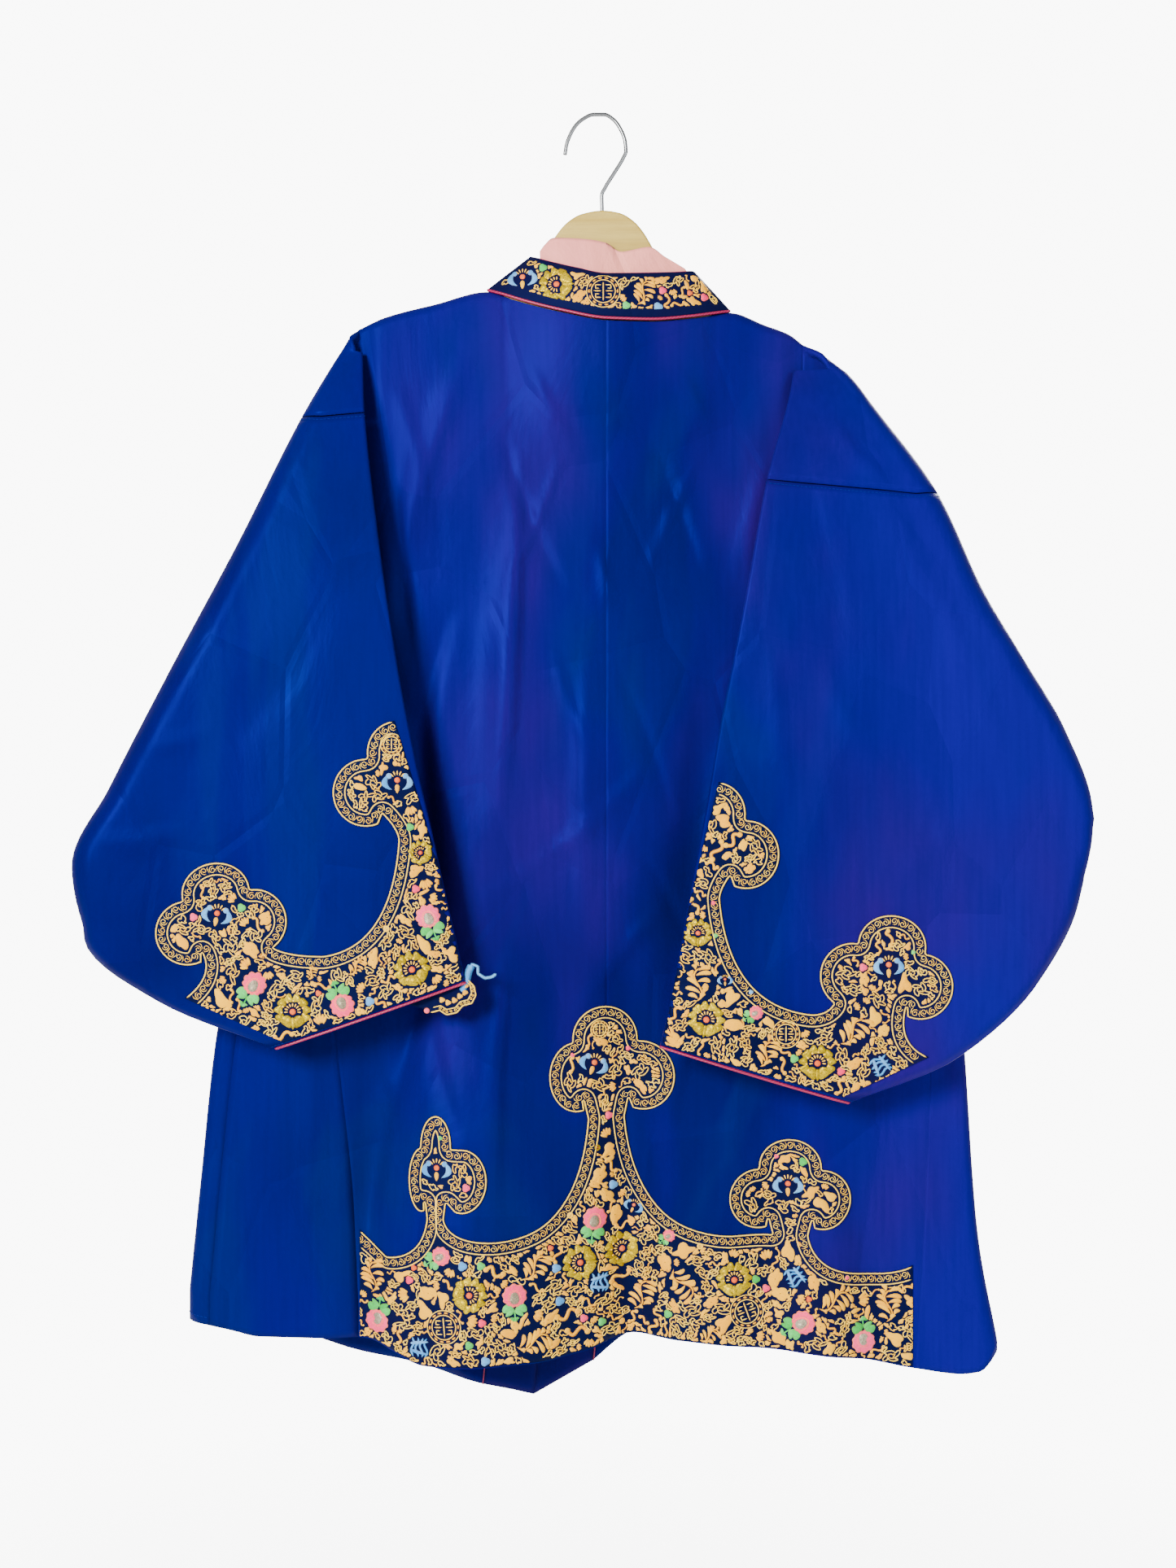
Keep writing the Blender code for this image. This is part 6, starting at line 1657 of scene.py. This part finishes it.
borderMotifs = {  # kind, x, z, turn in degrees if it is turned
    "hem": (
        ("pink", -140, -1002, -60), ("pink", -73, -1040), ("pink", -4, -978, -10),
        ("pink", 60, -990, -50), ("pink", 175, -1065, -60), ("pink", 233, -1077, 180),
        ("pink", -194, -1058, 170), ("sequin", -112, -1033, -75), ("sequin", -1, -911, -60),
        ("sequin", 21, -1003, 60), ("sequin", 119, -1026), ("sequin", -16, -1011, 90),
        ("medallion", -134, -1061, 5), ("medallion", -25, -969), ("medallion", 89, -997),
        ("medallion", 130, -1054, 20), ("medallion", 1, -807), ("scroll", -4, -837, -20),
        ("scroll", 31, -965, -20), ("scroll", 166, -943), ("scroll", -141, -926),
        ("bundle", 172, -1023, 30), ("bundle", -156, -1080, 90), ("bundle", 1, -1030, 90),
        ("skyDot", -118, -1008), ("skyDot", -98, -1090), ("greenDot", -102, -1008),
        ("greenDot", -112, -1076), ("roseDot", -101, -1057), ("orangeDot", -42, -996),
        ("skyDot", -37, -1014), ("skyDot", -34, -1043), ("roseDot", -165, -1023),
        ("orangeDot", -161, -1012), ("greenDot", 61, -1058), ("greenDot", 138, -1026),
        ("roseDot", 147, -1034), ("greenDot", 179, -922), ("roseDot", 156, -918),
        ("greenDot", -138, -899), ("roseDot", -115, -941), ("roseDot", -23, -829), ("roseDot", 26, -824),
        ("skyDot", 13, -945), ("orangeDot", 184, -1042), ("roseDot", 218, -1024), ("roseDot", 9, -883),
        ("greenDot", 3, -1065), ("roseDot", -13, -1060), ("spray", 74, -1030, -60),
        ("spray", 97, -1075, 25), ("spray", 206, -1044, 20), ("spray", -57, -1076, 10),
        ("spray", 176, -994, -70), ("spray", -199, -1025, 80), ("spray", 38, -1044, 60),
        ("spray", -56, -1012, 40), ("spray", 255, -1050, 80),
    ),
    "left": (
        ("pink", -297, -766, -30), ("pink", -221, -776, 200), ("pink", -145, -709, 20),
        ("sequin", -262, -786), ("sequin", -160, -750, 30), ("sequin", -153, -650, 60),
        ("medallion", -182, -715), ("medallion", -178, -557), ("scroll", -327, -703, -10),
        ("scroll", -173, -589), ("spray", -208, -748, 40), ("spray", -288, -738, -10),
        ("spray", -246, -753, 60), ("greenDot", -306, -697), ("roseDot", -347, -705),
        ("skyDot", -196, -777), ("greenDot", -162, -628), ("roseDot", -157, -681),
        ("orangeDot", -240, -770),
    ),
    "right": (
        ("pink", 132, -788, -60), ("sequin", 92, -793, -10), ("sequin", 187, -830),
        ("medallion", 160, -805), ("scroll", 108, -759), ("scroll", 248, -747), ("bundle", 241, -832, 30),
        ("skyDot", 130, -769), ("greenDot", 167, -826), ("roseDot", 207, -837), ("spray", 217, -803, 40),
        ("spray", 85, -763, 80), ("spray", 143, -822, 60), ("greenDot", 100, -721), ("roseDot", 98, -693),
        ("medallion", 86, -656), ("sequin", 85, -719), ("roseDot", 226, -748), ("greenDot", 269, -735),
    ),
    "collar": (
        ("scroll", -67, -146), ("sequin", -37, -153, 90), ("medallion", 4, -160), ("greenDot", -49, -137),
        ("greenDot", 24, -173), ("roseDot", 56, -159), ("skyDot", 52, -174), ("orangeDot", 80, -160),
        ("spray", 39, -161, 60), ("roseDot", 93, -163),
    ),
}


def embroider(name, border, side, sizeTable, edging=0.4, step=2.0):
    upper, lower, outline, cloth = border
    stitch = Stitching()
    room = roomField(upper, lower, outline, edging + 0.6, step)
    if edging == stitchForm["edging"]:
        edgingOn(stitch, upper, side, outline)
    features = []
    for kind, x, z, *turn in borderMotifs[name]:
        draw, size = motifs[kind]
        over = 1.0 if kind == "medallion" and name == "hem" else 4.0  # how far it may reach past its room
        size = min(size, max(stitchForm["least"], float(gridRead(room, x, z)) + over))
        for centre, reach in features:
            size = min(size, math.dist((x, z), centre) - reach * 0.9 - 0.4)
        if size < stitchForm["least"]:
            continue
        angle = math.radians(sum(turn))
        draw(stitch, motifFrame(x, z, size, angle), size, angle)
        features.append(((x, z), size * (0.96 if kind != "bundle" else 0.9)))
    sprinkle(stitch, room, outline, features, sizeTable)
    item = stitch.place(name, cloth, outline)
    print(name, len(features), "motifs,", len(item.data.polygons), "faces")


for word, side in (("hem", -1), ("left", 1), ("right", -1)):
    embroider(word, borders[word], side, stitchForm["sizes"], stitchForm["edging"])

places = np.linspace(0, len(collarTable) - 1, 80)
low, high = [np.stack(readColumns(collarTable, places, columns), axis=1) for columns in ((1, 2), (4, 5))]
upper, lower = mix(low, high, 0.94)[2:-2], mix(low, high, 0.2)[2:-2]
outline = np.concatenate((upper, lower[::-1]))
cloth = wallField([collarGrid()], outline, neckForm["collarWall"], 6.0, 1.0)
embroider("collar", (upper, lower, outline, cloth), -1, stitchForm["sizes"][1:], step=1.0)

print("trim of the left cuff's far layer")
farForm = {
    "ground": (
        (-168, -712), (-140, -716), (-131, -721), (-124, -726), (-121.5, -733), (-124, -739),
        (-119.5, -744), (-119, -751), (-122.5, -757), (-113, -759), (-107, -765), (-105.5, -773),
        (-109, -780), (-117, -782), (-122, -788), (-131, -790), (-137, -786), (-145, -788),
        (-152, -784), (-166, -780), (-176, -760),
    ),
    "scroll": (
        (-118, -770), (-114, -761), (-112, -752), (-109, -746), (-104, -748), (-104, -754),
        (-98, -758), (-92, -757), (-88, -754),
    ),
    "behind": 2.4,
}
ring = sleeveWalls["left"][:, -1]
depthThere = ring[np.argmax(ring[:, 0]), 1] + farForm["behind"]
corners = np.array(farForm["ground"], float)
cloth = (*[(corners.min(axis=0) - 20.0, 20.0, np.full((8, 8), value)) for value in (depthThere, 1.0)], 0.0)
groundPiece("far_cuff_trim", spaced(np.concatenate((corners, corners[:1])), 3.0)[:-1], cloth)
stitch = Stitching()
middle = corners.mean(axis=0)


def inwards(line, share):
    return middle + (line - middle) * share


for share, half in ((0.985, 0.75), (0.84, 0.6)):
    stitch.cord(inwards(spaced(corners[1:-3], 1.6), share), "pale", half, 0.7)
for spot in spaced(inwards(corners[2:-4], 0.91), 3.6):
    stitch.curl(spot, 1.5, rng.random() * 6.0, 1.2, 1, 0.4, 9)
for spot in spaced(inwards(corners[2:-4], 0.66), 6.0):
    stitch.blob(spot, 2.6 * (1.0 + 0.15 * np.cos(3 * evenTurns(16))))
curve = spaced(np.array(farForm["scroll"], float), 1.5)
for first, last, half in ((0, 18, 3.3), (14, len(curve), 1.5)):
    stitch.cord(curve[first:last], "sky", half, 1.0)
stitch.blob((-148, -786), np.full(14, 2.6), "pink")
stitch.place("far_trim", cloth)

print("floor, light and camera")
studioForm = {
    "floor": -1.62,
    "floorHalf": 9.0,
    "backdrop": 9.5,  # strength that the camera sees, so that the ground burns out to the photograph's white
    "sky": 0.45,
    "fade": (0.2, 1.5),  # metres from the middle over which the floor goes over into the backdrop
    "fieldOfView": 35.0,
    "camera": (-0.00936, -2.2, -0.591),
}
white = (1.0, 1.0, 1.0, 1.0)
work = bmesh.new()
bmesh.ops.create_grid(work, x_segments=1, y_segments=1, size=studioForm["floorHalf"])
bmesh.ops.translate(work, verts=work.verts, vec=(0.0, 0.0, studioForm["floor"]))
floorPaint, tree, shader = newMaterial("Pale floor", 0.9)
setInputs(shader, Base_Color=(0.86, 0.86, 0.86, 1.0))
away = addNode(tree, "ShaderNodeVectorMath", {"operation": "LENGTH"},
               Vector=placesOn(tree, stretch=(1.0, 0.8, 0.0)))
faded = ranged(tree, away.outputs["Value"], 0.55, 1.0, *studioForm["fade"])
seen = addNode(tree, "ShaderNodeLightPath").outputs["Is Camera Ray"]
glow = addNode(tree, "ShaderNodeEmission", Color=white, Strength=studioForm["backdrop"])
both = addNode(tree, "ShaderNodeMixShader", Fac=multiplied(tree, faded, seen))
for node, socket in ((shader, both.inputs[1]), (glow, both.inputs[2])):
    tree.links.new(node.outputs[0], socket)
tree.links.new(both.outputs["Shader"], tree.nodes["Material Output"].inputs["Surface"])
meshFrom("pale_floor", work, floorPaint)

world = bpy.data.worlds.new("Soft studio")
bpy.context.scene.world = world
world.use_nodes = True
tree = world.node_tree
seen = addNode(tree, "ShaderNodeLightPath").outputs["Is Camera Ray"]
setInputs(tree.nodes["Background"], Color=white,
          Strength=ranged(tree, seen, studioForm["sky"], studioForm["backdrop"], 0.0, 1.0))


def areaLight(name, place, aim, size, energy, colour):
    data = bpy.data.lights.new(name, "AREA")
    data.energy, data.size, data.color = energy, size, colour
    light = placed(name, data)
    light.location = place
    light.rotation_euler = (Vector(aim) - Vector(place)).to_track_quat("-Z", "Y").to_euler()


areaLight("key", (-1.5, -2.6, 0.2), (0.05, 0.0, -0.65), 0.9, 225.0, (1.0, 0.98, 0.95))
areaLight("fill", (2.0, -2.4, -0.2), (0.0, 0.0, -0.6), 1.8, 45.0, (0.94, 0.97, 1.0))
areaLight("rear", (0.8, 2.4, 0.6), (0.0, 0.0, -0.6), 1.6, 120.0, (1.0, 1.0, 1.0))

cameraData = bpy.data.cameras.new("camera")
cameraData.sensor_fit = "VERTICAL"
cameraData.sensor_height = 24.0
cameraData.lens = cameraData.sensor_height / 2 / math.tan(math.radians(studioForm["fieldOfView"]) / 2)
camera = placed("camera", cameraData)
camera.location = studioForm["camera"]
camera.rotation_euler = (math.radians(90.0), 0.0, 0.0)
bpy.context.scene.camera = camera
